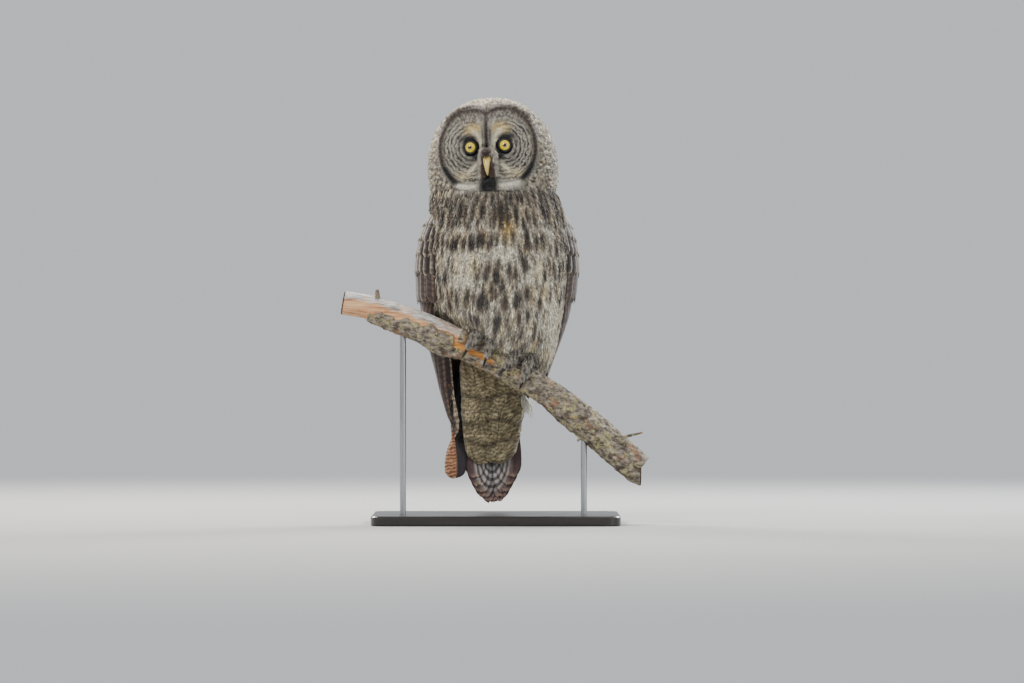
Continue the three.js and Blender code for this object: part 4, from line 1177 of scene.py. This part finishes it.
def coat_bristles(material):
    """Stiff brown feathers that close over the bill's root from above and from both sides."""
    points, directions, normals, lengths = [], [], [], []

    def add(x, z, direction, normal, length):
        out = math.hypot(x / HEAD_SIZE["half"], z / HEAD_SIZE["up"])
        y = float(face_relief(x, z)) - face_front(out) - 1
        points.append([x + rng.normal(0, 0.5), y, z + rng.normal(0, 0.8)])
        directions.append(direction)
        normals.append(normal)
        lengths.append(length)

    for side in (-1, 1):
        for b in np.linspace(0, 1, BRISTLES["rows"]):
            for a in np.linspace(0, 1, BRISTLES["columns"]):
                x = side * (BRISTLES["inner"] + (BRISTLES["outer"] - BRISTLES["inner"]) * a)
                z = BRISTLES["top"] + (BRISTLES["low"] - BRISTLES["top"]) * b
                ahead = (1 - a) * (1 - b)
                way = [side * (-0.16 + 0.5 * a), -0.35 - 0.45 * ahead, -0.85 + 0.2 * ahead]
                add(x, z, way, [side * 0.6, -0.6, 0.4], 15 + 9 * ahead)
    for x in np.linspace(-6, 6, 9):
        for z in (25, 28, 31):
            add(x, z, [0.03 * x, -0.80, -0.60], [0, -0.6, 0.8], 21)
    turn = np.array(HEAD)[:3, :3].T
    p = moved(HEAD, np.array(points))
    bake = tile("head", 0.45 + np.array(points)[:, 0] / 200, 0.05 + 0 * p[:, 0])
    return tufts("coat_bristles", p, np.array(normals) @ turn, np.array(directions) @ turn, bake,
                 np.array(lengths), 4.5, material, "face_feathers", locks=4, rings=3, sunk=1.5, lift=1.5,
                 spread=0.25, shade=0.15, colour_of=bristle_colour)


def bristle_colour(p):
    h = moved(HEAD.inverted(), p)
    x, z = np.abs(h[..., 0]), h[..., 2]
    wide = 6.5 + 5 * (1 - step(z, -12, 22)) + 1.5 * np.sin(z / 1.7)
    colour = painted(
        (0.44, 0.36, 0.30),
        ((0.20, 0.12, 0.12), bump(x, 5, 6) * (0.5 + 0.5 * bump(z, 2, 13))),
        (mix(PALE, GREY, 0.3), 0.9 * step(x - wide, -1.5, 3.5)),
        (DARK, 0.7 * bump(x, 0, 4) * step(z, 13, 22)),
    )
    return colour, np.zeros_like(z), np.zeros_like(z)


TOE = {"root": 9.5, "tip": 4.8}
TOES = [
    {"name": "inner", "shift": -8, "splay": -7, "from": 8, "to": 92},
    {"name": "middle", "shift": 8, "splay": 7, "from": 8, "to": 96},
    {"name": "outer", "shift": 9, "splay": 9, "from": -8, "to": -74},
    {"name": "hind", "shift": -8, "splay": -6, "from": -8, "to": -66},
]


def toe_centre(t, toe, foot_x, outward):
    x = foot_x + outward * (toe["shift"] + toe["splay"] * t)
    lift = TOE["root"] + (TOE["tip"] - TOE["root"]) * t + 0.35
    turn = np.radians(toe["from"] + (toe["to"] - toe["from"]) * t)
    return moved(BIRD.inverted(), round_branch(x, turn, lift))


def toe_place(u, t, toe, foot_x, outward):
    u, t = together(u, t)
    centre = toe_centre(t, toe, foot_x, outward)
    ahead = unit(toe_centre(t + 0.02, toe, foot_x, outward) - toe_centre(t - 0.02, toe, foot_x, outward))
    side = unit(np.cross(ahead, np.array([0.1, 1.0, 0.2])))
    up = np.cross(side, ahead)
    r = (TOE["root"] + (TOE["tip"] - TOE["root"]) * t**1.5)[..., None]
    return centre + r * (side * np.cos(u)[..., None] + up * np.sin(u)[..., None])


# Wings, tail and under-tail coverts

WING_ROWS = [
    {"count": 9, "root": [[40, 462], [66, 440]], "tip": [[46, 376], [78, 350]], "width": 24, "raised": 2},
    {"count": 13, "root": [[-48, 482], [54, 484]], "tip": [[-48, 450], [56, 452]], "width": 18},
    {"count": 14, "root": [[-48, 464], [52, 466]], "tip": [[-48, 428], [54, 430]], "width": 18},
    {"count": 15, "root": [[-47, 444], [52, 446]], "tip": [[-47, 404], [54, 406]], "width": 19},
    {"count": 14, "root": [[-46, 422], [58, 424]], "tip": [[-46, 372], [62, 374]], "width": 22},
    {"count": 12, "root": [[-44, 396], [64, 398]], "tip": [[-44, 330], [72, 328]], "width": 26},
    {"count": 13, "root": [[-36, 356], [76, 356]], "tip": [[8, 170], [84, 190]], "width": 23, "layer": 0.12},
]
PRIMARIES = {
    -1: {"tips": [132, 118, 102, 88, 74, 60, 46], "root_z": 300, "root": [-44, 7.5],
         "tip": [-20, 10], "flare": 26},
    1: {"tips": [120, 104, 92, 80, 70, 62, 56], "root_z": 264, "root": [44, 5], "tip": [52, 5], "flare": 0},
}


def flight_colour(u, t, p):
    """A flight feather: dark plum brown, paler bars on the inner web and a pale line down the outer edge."""
    colour = painted(
        PLUM,
        ((0.36, 0.31, 0.28), 0.55 * step(u, -0.2, 0.7)),
        ((0.84, 0.77, 0.66), 0.9 * step(-u, 0.82, 0.94)),
        (BLACK, 0.7 * bump(u, -0.62, 0.12)),
        ((0.62, 0.52, 0.43), 0.6 * bump(u, 0, 0.07)),
        ((0.64, 0.56, 0.48), 0.3 * step(t, 0.9, 1.0)),
    )
    return colour, 0.55 + 0 * u, t * 7.0 + 0.3 * np.abs(u)


def covert_colour(u, t, p):
    """A covert: dark along its shaft, finely speckled, with pale spots near its edges and end."""
    x, y, z = p[..., 0], p[..., 1], p[..., 2]
    out = np.abs(u)
    specks = np.maximum(blotches(x + y, z, 4.5, 5, 61), blotches(x + y, z, 6, 8, 64))
    colour = painted(
        (0.38, 0.33, 0.29),
        ((0.11, 0.085, 0.08), bump(u, 0.1, 0.4) + 0.35),
        ((0.86, 0.80, 0.70), 0.75 * specks * step(out, 0.2, 0.75)),
        ((0.80, 0.73, 0.62), 0.45 * step(out, 0.8, 0.98) + 0.25 * step(t, 0.9, 1)),
    )
    return colour, 0.25 + 0 * u, t * 5 + 0.5 * out


def primary_colour(u, t, p):
    """An outer flight feather, whose end is orange brown on one side of the shaft and grey on the other."""
    z = p[..., 2]
    end = 1 - step(z, 100, 125)
    tip = end * step(-u, -0.5, 0.3)
    colour, strength, _ = flight_colour(u, t, p)
    grey = 0.8 * end * step(u, 0.2, 0.6)
    colour = painted(colour, ((0.74, 0.50, 0.34), 0.9 * tip), ((0.17, 0.15, 0.17), grey))
    return colour, strength + 0.35 * tip, z / 9 + 0.4 * u


def make_wing(side, word, material):
    vanes = []
    for index, spec in enumerate(WING_ROWS):
        colour_of = covert_colour if index < 5 else flight_colour
        vanes += row_of(wing_place, spec, side, "wing", colour_of)
    look = PRIMARIES[side]

    def flared(u, v):
        p = wing_place(u, v)
        p[..., 0] += look["flare"] * (1 - step(v, 60, 135))
        return p

    for k, tip in enumerate(look["tips"]):
        def line(t, k=k, tip=tip):
            angle = look["root"][0] + look["root"][1] * k
            end = look["tip"][0] + look["tip"][1] * k
            lift = -12 + (11 - k) * step(t, 0, 0.3)
            return np.radians(angle + (end - angle) * t), look["root_z"] + (tip - look["root_z"]) * t, lift

        width = 24 + look["flare"] * k / 10
        vanes.append(vane(flared, line, width, side, "wing", primary_colour, rounded=0.87))
    if side < 0:
        for k in range(WING_TIP["count"]):
            vanes.append(wing_tip_vane(k))
    return joined(f"wing_feathers_{word}", vanes, material, "flight_feathers")


# The right wing's last feathers turn their undersides to the front, beside the tail
WING_TIP = {"count": 3, "root": [66, 172], "tip": [58, 42], "shift": [2.0, 9.0], "width": 35, "depth": -9,
            "opens": (0.52, 0.8, 0.28)}


def wing_tip_place(u, v):
    u, v = together(u, v)
    return np.stack([u * 100, tail_y(v) + WING_TIP["depth"] + 0 * u, v], -1)


def wing_tip_colour(u, t, p):
    """Orange brown with dark bars on the outer side of the shaft, dark grey on the inner side."""
    outer = step(u, -0.25, 0.0)
    colour = painted(
        (0.20, 0.18, 0.20),
        ((0.74, 0.53, 0.39), outer),
        ((0.92, 0.80, 0.66), 0.6 * step(u, 0.85, 1.0)),
    )
    return colour, 0.1 + 0.6 * outer, p[..., 2] / 5.6 + 0.35 * u


def wing_tip_vane(k):
    """One of these feathers. The next ones lie behind it, a little farther in and higher."""
    (root_x, root_z), (tip_x, tip_z), (inward, higher) = WING_TIP["root"], WING_TIP["tip"], WING_TIP["shift"]

    def line(t):
        x = tip_x + (root_x - tip_x) * (1 - t) ** 2 - inward * k * t
        return x / 100, root_z + (tip_z + higher * k - root_z) * t, -1.5 * k + 0 * t

    return vane(wing_tip_place, line, WING_TIP["width"], -1, "wing", wing_tip_colour, 0.0, well_behind,
                rounded=0.9, opens=WING_TIP["opens"])


SEAT = 233
TAIL = {"root_y": 84, "tip_y": 99, "width": 38, "step": 1.05, "spread": 5.2, "lean": 6,
        "drop": [0, 2, 8, 17, 28, 42]}


def tail_y(z):
    return TAIL["tip_y"] + (TAIL["root_y"] - TAIL["tip_y"]) * z / SEAT


def tail_place(u, v):
    u, v = together(u, v)
    return np.stack([u * 100, tail_y(v), v], -1)


def tail_colour(u, t, p):
    """Grey with nested dark arcs, a dark band under the coverts, a plum border and a worn brown end."""
    z = p[..., 2]
    across = p[..., 0] - TAIL["lean"] * 0.6
    out = np.hypot(across / 36, (z - 72) / 64)
    colour = painted(
        (0.74, 0.73, 0.73),
        ((0.60, 0.57, 0.56), step(out, 0.3, 0.8)),
        ((0.26, 0.18, 0.18), 0.85 * step(out, 0.82, 0.94)),
        ((0.17, 0.12, 0.13), 0.85 * bump(z, 76, 7) * (1 - step(np.abs(across), 14, 24))),
        ((0.19, 0.14, 0.14), 0.5 * bump(np.abs(u), 0.98, 0.1)),
        ((0.72, 0.62, 0.54), 0.7 * step(t, 0.955, 1.0)),
    )
    return colour, 0.15 + 0.6 * step(-z, -80, -68) * (1 - step(out, 0.80, 0.88)), out * 5.5 + 0.35


def make_tail(material):
    """Twelve feathers in pairs, the middle pair longest and the outer pairs in front of it."""
    vanes = []
    for pair, tip_z in enumerate(TAIL["drop"]):
        for side in (1, -1):
            layer = (pair * 2 + (side < 0) - 5.5) * TAIL["step"]
            tip_x = side * (3 + TAIL["spread"] * pair)

            def line(t, layer=layer, tip_x=tip_x, tip_z=tip_z):
                x = tip_x * (0.35 + 0.65 * step(t, 0, 0.8)) + TAIL["lean"] * t * t
                return x / 100, SEAT - 3 + (tip_z + 1.5 - SEAT + 3) * t, layer + 0 * t

            vanes.append(vane(tail_place, line, TAIL["width"], 1, "tail", tail_colour, 0.0, well_behind,
                              rounded=0.86))
    tail = joined("tail_feathers", vanes, material, "flight_feathers")
    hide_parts("tail")
    return tail


UNDERTAIL_ROWS = [(238, 186), (222, 170), (204, 152), (186, 134),
                  (168, 117), (150, 100), (132, 83), (115, 66)]
UNDERTAIL_BANDS = [176, 133, 100]


def undertail_colour(u, t, p):
    """Olive tan, finely and unevenly barred, with three stronger bands across."""
    x, z = p[..., 0], p[..., 2]
    specks = np.maximum(blotches(x, z, 5, 4.5, 44), blotches(x + 2, z + 2, 7, 5, 47))
    bands = [(DARK, 0.5 * bump(z, band + 5 * np.sin(x / 13 + band), 3.5)) for band in UNDERTAIL_BANDS]
    colour = painted(
        (0.60, 0.55, 0.41),
        ((0.80, 0.75, 0.60), blotches(x, z, 19, 23, 41) + 0.25),
        (DARK, 0.65 * specks),
        *bands,
        (BROWN, 0.35 * step(z, 180, 230)),
    )
    return colour, 0.5 + 0 * u, (z + 4 * np.sin(x / 9)) / 6.5 + 0.25 * np.abs(u)


def make_undertail(material):
    vanes = []
    for index, (root_z, tip_z) in enumerate(UNDERTAIL_ROWS):
        edge = 10 + 5 * (index % 2)
        spec = {"count": 8 - index // 4, "root": [[-180 + edge, root_z], [-edge, root_z]],
                "tip": [[-180 + edge + 6, tip_z], [-edge - 6, tip_z]], "width": 25}
        vanes += row_of(undertail_place, spec, 1, "rump", undertail_colour)
    return joined("undertail_feathers", vanes, material, "body_feathers")


# Head details


def make_eye(side, word):
    """One eye, whose clear front bulges a little along its line of sight."""
    to_world = BIRD @ HEAD
    centre = moved(to_world, np.array([[side * EYE["x"], EYE["y"], EYE["z"]]]))[0] * MM
    gaze = unit(np.array([side * 0.1, -1.0, 0.0])) @ np.array(to_world)[:3, :3].T
    bpy.ops.mesh.primitive_uv_sphere_add(segments=48, ring_count=32, radius=EYE["radius"] * MM,
                                         location=centre)
    eye = bpy.context.object
    settle(eye)
    for vertex in eye.data.vertices:
        away = vertex.co - Vector(centre)
        front = max(away.normalized().dot(Vector(gaze)), 0)
        vertex.co += Vector(gaze) * EYE["bulge"] * front**6
    smooth_shade(eye)
    keep(eye, f"eye_{word}_ball", eye_material(f"iris_{word}", centre, gaze), "eye", f"eye_{word}")
    return centre, gaze


LID = {"radius": 0.010, "thick": 0.0019, "ahead": 0.0068, "folds": 34}


def make_lids(word, centre, gaze, material):
    """A leathery ring round an eye, folded all round and bent back at its outer edge."""
    bpy.ops.mesh.primitive_torus_add(major_radius=LID["radius"], minor_radius=LID["thick"],
                                     major_segments=64, minor_segments=16)
    lid = bpy.context.object
    for vertex in lid.data.vertices:
        turn = math.atan2(vertex.co.y, vertex.co.x)
        vertex.co.z *= 1 + 0.05 * math.sin(LID["folds"] * turn)
        vertex.co.z -= 0.0012 * (vertex.co.length - LID["radius"]) / 0.002
    lid.rotation_mode = "QUATERNION"
    lid.rotation_quaternion = Vector(gaze).to_track_quat("Z", "Y")
    lid.location = Vector(centre) + Vector(gaze) * LID["ahead"]
    settle(lid)
    smooth_shade(lid)
    return keep(lid, f"lid_{word}", material, "eye")


def make_horn(node, voxel, passes, material, slot):
    """A bill's half or a claw, from its solid with the facets eased."""
    piece = copies_of([node], node + "_horn")
    recast(piece, voxel, passes)
    apply_all(piece)
    smooth_shade(piece)
    keep(piece, node + "_horn", material, slot, node)


# The colours at the low and high end of each half of the bill, and its roughness
BILL = {
    "bill_upper": ("bill_horn", (0.80, 0.70, 0.36), (0.86, 0.74, 0.36), 0.3),
    "bill_lower": ("bill_lower_horn", (0.62, 0.52, 0.28), (0.70, 0.60, 0.34), 0.4),
}
BILL_ENDS = [[0, -92, -15.0], [0, -90, 14.0]]


def make_bill():
    low, top = (float(moved(BIRD @ HEAD, np.array([end]))[0, 2]) * MM for end in BILL_ENDS)
    for node, (name, low_colour, top_colour, roughness) in BILL.items():
        make_horn(node, 0.0005, 5, horn(name, low_colour, top_colour, low, top, roughness), "bill")


def make_claws():
    look = grained("claw_horn")
    for node in [name for name in frame["nodes"] if name.startswith("claw_")]:
        make_horn(node, 0.00045, 4, look, "claw")


# Branch and stand

branch_row = smooth(BRANCH)
peel_front = smooth(PEEL_FRONT)


def branch_axis(x):
    y, z, wood, bark = np.moveaxis(branch_row(x), -1, 0)
    ahead = branch_row(np.asarray(x) + 1)
    along = unit(np.stack([np.ones_like(y), ahead[..., 0] - y, ahead[..., 1] - z], -1))
    up = unit(np.stack([-along[..., 2], 0 * y, along[..., 0]], -1))
    return np.stack([np.asarray(x, float) + 0 * y, y, z + TAIL_CLEAR], -1), up, wood, bark


def off_axis(middle, up, turn, r):
    """Points r from the branch's middle, at an angle in radians, 0 on top and a quarter turn at the front."""
    return middle + r[..., None] * (up * np.cos(turn)[..., None] + FRONT * np.sin(turn)[..., None])


def round_branch(x, turn, lift):
    """A point over the bark of the branch."""
    middle, up, wood, bark = branch_axis(x)
    return off_axis(middle, up, turn, wood + bark * 1.32 + lift)


def bark_share(x, angle):
    """How much of the bark is left, by x and the angle in degrees round the branch."""
    end = step(x, -206, -199)
    edge = peel_front(x)[..., 0]
    on_top = 1 - step(angle, edge - 8, edge + 8)
    peeled = on_top * step(angle, -70, -50) * (1 - step(x, -68, -56))
    in_strip = step(x, -70, -62) * (1 - step(x, -13, 12))
    strip = in_strip * (1 - step(np.abs(angle - 104), 7, 17))
    return end * (1 - np.clip(peeled + strip, 0, 1)), strip


def bark_ridges(x, turn):
    """How the bark's thickness varies round the branch."""
    return 1 + 0.18 * np.sin(5 * turn + x / 11) + 0.14 * np.sin(3 * turn - x / 17)


BRANCH_MESH = {"along": 420, "around": 120}
BRANCH_ENDS = {"high": BRANCH[0][0], "low": BRANCH[-1][0]}
OUTWARD = (bpy.ops.mesh.normals_make_consistent, {"inside": False})


def make_branch(material, end_material):
    """The branch from a grid laid round its axis: bark with ridges and knobs, and peeled wood."""
    bpy.ops.mesh.primitive_grid_add(x_subdivisions=BRANCH_MESH["along"], y_subdivisions=BRANCH_MESH["around"],
                                    size=2)
    branch = bpy.context.object
    mesh = branch.data
    co = np.empty(len(mesh.vertices) * 3)
    mesh.vertices.foreach_get("co", co)
    co = co.reshape(-1, 3)
    x = BRANCH_ENDS["high"] + (co[:, 0] + 1) / 2 * (BRANCH_ENDS["low"] - BRANCH_ENDS["high"])
    angle = co[:, 1] * 180
    ragged = 6 * np.sin(x / 6.3 + 2 * np.sin(angle / 23)) + 4 * np.sin(x / 2.9 + angle / 11)
    ragged = ragged * (1 - 0.75 * step(x, -75, -60))
    share, strip = bark_share(x, np.where(np.abs(angle) < 179, angle + ragged * 0.9, angle))
    turn = np.radians(angle)
    middle, up, wood, bark = branch_axis(x)
    knobs = np.sin(7 * turn + x / 5.3) * np.sin(x / 7.1 - 4 * turn) + 0.6 * np.sin(13 * turn - x / 3.1)
    furrows = 0.75 * knobs + 0.5 * np.sin(x / 1.9 + 9 * turn) * np.sin(11 * turn - x / 4)
    grain = 0.18 * np.sin(26 * turn + 0.8 * np.sin(x / 40)) + 0.35 * np.sin(6 * turn + x / 55)
    r = wood + bark * share * bark_ridges(x, turn) + share * furrows + (1 - share) * grain
    mesh.vertices.foreach_set("co", (off_axis(middle, up, turn, r) * MM).ravel())
    top = (1 - step(angle + 0.5 * ragged, 58, 74)) * step(angle, -120, -90)
    attribute(mesh, "Bark", np.stack([share, top, strip, np.ones_like(x)], -1))
    edit_whole(branch, (bpy.ops.mesh.remove_doubles, {"threshold": 0.00005}), OUTWARD)
    smooth_shade(branch)
    keep(branch, "branch_bark", material, "branch", "perch_branch")
    for word, x_end in BRANCH_ENDS.items():
        make_branch_end(float(x_end), word, end_material)
    return branch


def make_branch_end(x_end, word, material):
    """A sawn end, slightly domed, with its rings."""
    bpy.ops.mesh.primitive_circle_add(vertices=96, radius=1, fill_type="NGON")
    end = bpy.context.object
    edit_whole(end, *[(bpy.ops.mesh.inset, {"thickness": 0.17})] * 5)
    middle, up, wood, bark = branch_axis(np.array([x_end]))
    outward = np.cross(up[0], FRONT)
    outward = outward * np.sign(outward[0] * x_end)
    local = np.array([vertex.co[:] for vertex in end.data.vertices])
    radius = np.hypot(local[:, 0], local[:, 1])
    turn = np.arctan2(local[:, 1], local[:, 0])
    share, _ = bark_share(np.full(len(turn), x_end), np.degrees(turn))
    p = off_axis(middle, up, turn, (wood + bark * share * bark_ridges(x_end, turn)) * radius)
    p = p + outward * (1.2 * (1 - radius**2) + 0.25 * np.sin(9 * turn + 20 * radius))[:, None]
    end.data.vertices.foreach_set("co", (p * MM).ravel())
    attribute(end.data, "Bark", np.stack([radius, radius, radius, np.ones_like(radius)], -1))
    solid = end.modifiers.new("Thickness", "SOLIDIFY")
    solid.thickness = 0.002
    solid.offset = -1 if x_end < 0 else 1
    apply_all(end)
    edit_whole(end, OUTWARD)
    return keep(end, f"branch_end_{word}", material, "branch")


# Twigs: x, angle round the branch, length, root radius, lean along the branch
STUBS = [[-196, 20, 12, 5, -4], [186, 35, 30, 3.2, 22], [150, 165, 11, 4, 2]]


def make_stubs(material):
    """Broken twigs that stand out of the branch."""
    for number, (x, angle, length, radius, lean) in enumerate(STUBS, 1):
        middle, up, wood, bark = branch_axis(np.array([float(x)]))
        turn = math.radians(angle)
        out = up[0] * math.cos(turn) + FRONT * math.sin(turn)
        start = middle[0] + out * (float(wood[0]) - 3)
        tip = start + out * (length + 3) + np.array([lean, 0, -0.5 * lean])
        way = Vector(tip - start)
        bpy.ops.mesh.primitive_cone_add(vertices=20, radius1=radius * MM, radius2=radius * 0.5 * MM,
                                        depth=way.length * MM, location=Vector((start + tip) / 2) * MM)
        stub = bpy.context.object
        stub.rotation_mode = "QUATERNION"
        stub.rotation_quaternion = way.to_track_quat("Z", "Y")
        settle(stub)
        edit_whole(stub, (bpy.ops.mesh.subdivide, {"number_cuts": 4}))
        for vertex in stub.data.vertices:
            wave = math.sin(vertex.co.x * 2100) + math.sin(vertex.co.z * 1700 + vertex.co.y * 900)
            vertex.co += vertex.normal * 0.00025 * wave
        attribute(stub.data, "Bark", np.tile([1.0, 0.0, 0.0, 1.0], (len(stub.data.vertices), 1)))
        smooth_shade(stub)
        keep(stub, f"branch_twig_{number}", material, "branch")


def make_stand():
    """The stand keeps its solids, with finishes of its own."""
    steel = grained("rod_steel")
    for name, look in {"stand_base": lacquer(), "stand_rod_left": steel, "stand_rod_right": steel}.items():
        materials = frame["nodes"][name].data.materials
        materials.clear()
        materials.append(look)


# Camera, light and floor

SKY = (0.83, 0.86, 0.9, 1)
SKY_STRENGTH = 0.75
LIT_POINT = Vector((0, 0, 0.38))
# Each light's place, size, power and colour
LIGHTS = {
    "key": ((-1.5, -2.4, 2.4), 1.1, 84, (1.0, 0.96, 0.90)),
    "fill": ((2.4, -2.2, 0.9), 2.2, 24, (0.92, 0.96, 1.0)),
    "rim_left": ((-1.7, 1.8, 1.9), 0.9, 95, (1.0, 0.93, 0.88)),
    "rim_right": ((1.8, 1.7, 1.7), 0.9, 95, (0.95, 0.97, 1.0)),
    "rim_top": ((0.0, 0.9, 2.6), 0.8, 60, (1.0, 0.96, 0.93)),
}


def make_floor():
    """A pale floor that fades into the sky's colour with distance."""
    bpy.ops.mesh.primitive_plane_add(size=60, location=(0, 0, 0))
    floor = bpy.context.object
    floor.name = "floor"
    s = Shader("studio_floor")
    near = s.ramp(s.noise(here(s), 0.6, 2.0), [(0.3, (0.70, 0.70, 0.695)), (0.7, (0.72, 0.72, 0.715))])
    away = s.between(s.vector("LENGTH", here(s), (0, 0, 0), 1), 0.8, 3.6)
    floor.data.materials.append(s.finish(
        Base_Color=s.blend(away, near, (0, 0, 0, 1)), Roughness=1.0, Specular_IOR_Level=0.0,
        Emission_Color=SKY, Emission_Strength=s.math("MULTIPLY", away, SKY_STRENGTH)))


def make_lights():
    world = bpy.data.worlds.new("studio")
    bpy.context.scene.world = world
    world.use_nodes = True
    background = world.node_tree.nodes["Background"]
    background.inputs["Color"].default_value = SKY
    background.inputs["Strength"].default_value = SKY_STRENGTH
    for name, (place, size, power, colour) in LIGHTS.items():
        light = bpy.data.lights.new(name, "AREA")
        light.size = size
        light.energy = power
        light.color = colour
        obj = bpy.data.objects.new(name, light)
        obj.location = place
        obj.rotation_euler = (LIT_POINT - Vector(place)).to_track_quat("-Z", "Y").to_euler()
        bpy.context.scene.collection.objects.link(obj)


# The photograph's framing: the bird's middle and its tail's tip are at these pixels
PHOTO = {"width": 1024, "height": 683, "mm_per_pixel": 1.62, "bird_x": 496, "tail_tip_y": 505}
DISTANCE = 8.0
SENSOR = 36


def make_camera():
    pixel = PHOTO["mm_per_pixel"] * MM
    centre_x = (PHOTO["width"] / 2 - PHOTO["bird_x"]) * pixel
    centre_z = TAIL_CLEAR * MM + (PHOTO["tail_tip_y"] - PHOTO["height"] / 2) * pixel
    camera = bpy.data.cameras.new("camera")
    camera.sensor_width = SENSOR
    camera.lens = SENSOR * DISTANCE / (PHOTO["width"] * pixel)
    obj = bpy.data.objects.new("camera", camera)
    obj.location = (centre_x, -DISTANCE, centre_z)
    obj.rotation_euler = (math.radians(90), 0, 0)
    bpy.context.scene.collection.objects.link(obj)
    bpy.context.scene.camera = obj


# Everything

make_camera()
make_floor()
make_lights()
soft = plumage("plumage_soft")
fine = plumage("plumage_face", 0.6)
firm = plumage("plumage_flight", 0.9, 0.6)
tail_plumage = plumage("plumage_tail", 0.9, 0.6, wander=0.5)
lid_skin = grained("lid_skin")
branch_wood = branch_material()
make_skin(soft)
coat_breast(soft)
coat_sides(soft)
coat_nape(soft)
coat_face(fine)
coat_bristles(fine)
coat_legs(soft)
coat_wisps(soft)
for side, word in ((1, "left"), (-1, "right")):
    make_wing(side, word, firm)
    eye_centre, eye_gaze = make_eye(side, word)
    make_lids(word, eye_centre, eye_gaze, lid_skin)
make_tail(tail_plumage)
make_undertail(soft)
make_bill()
make_claws()
make_branch(branch_wood, cut_material())
make_stubs(branch_wood)
make_stand()
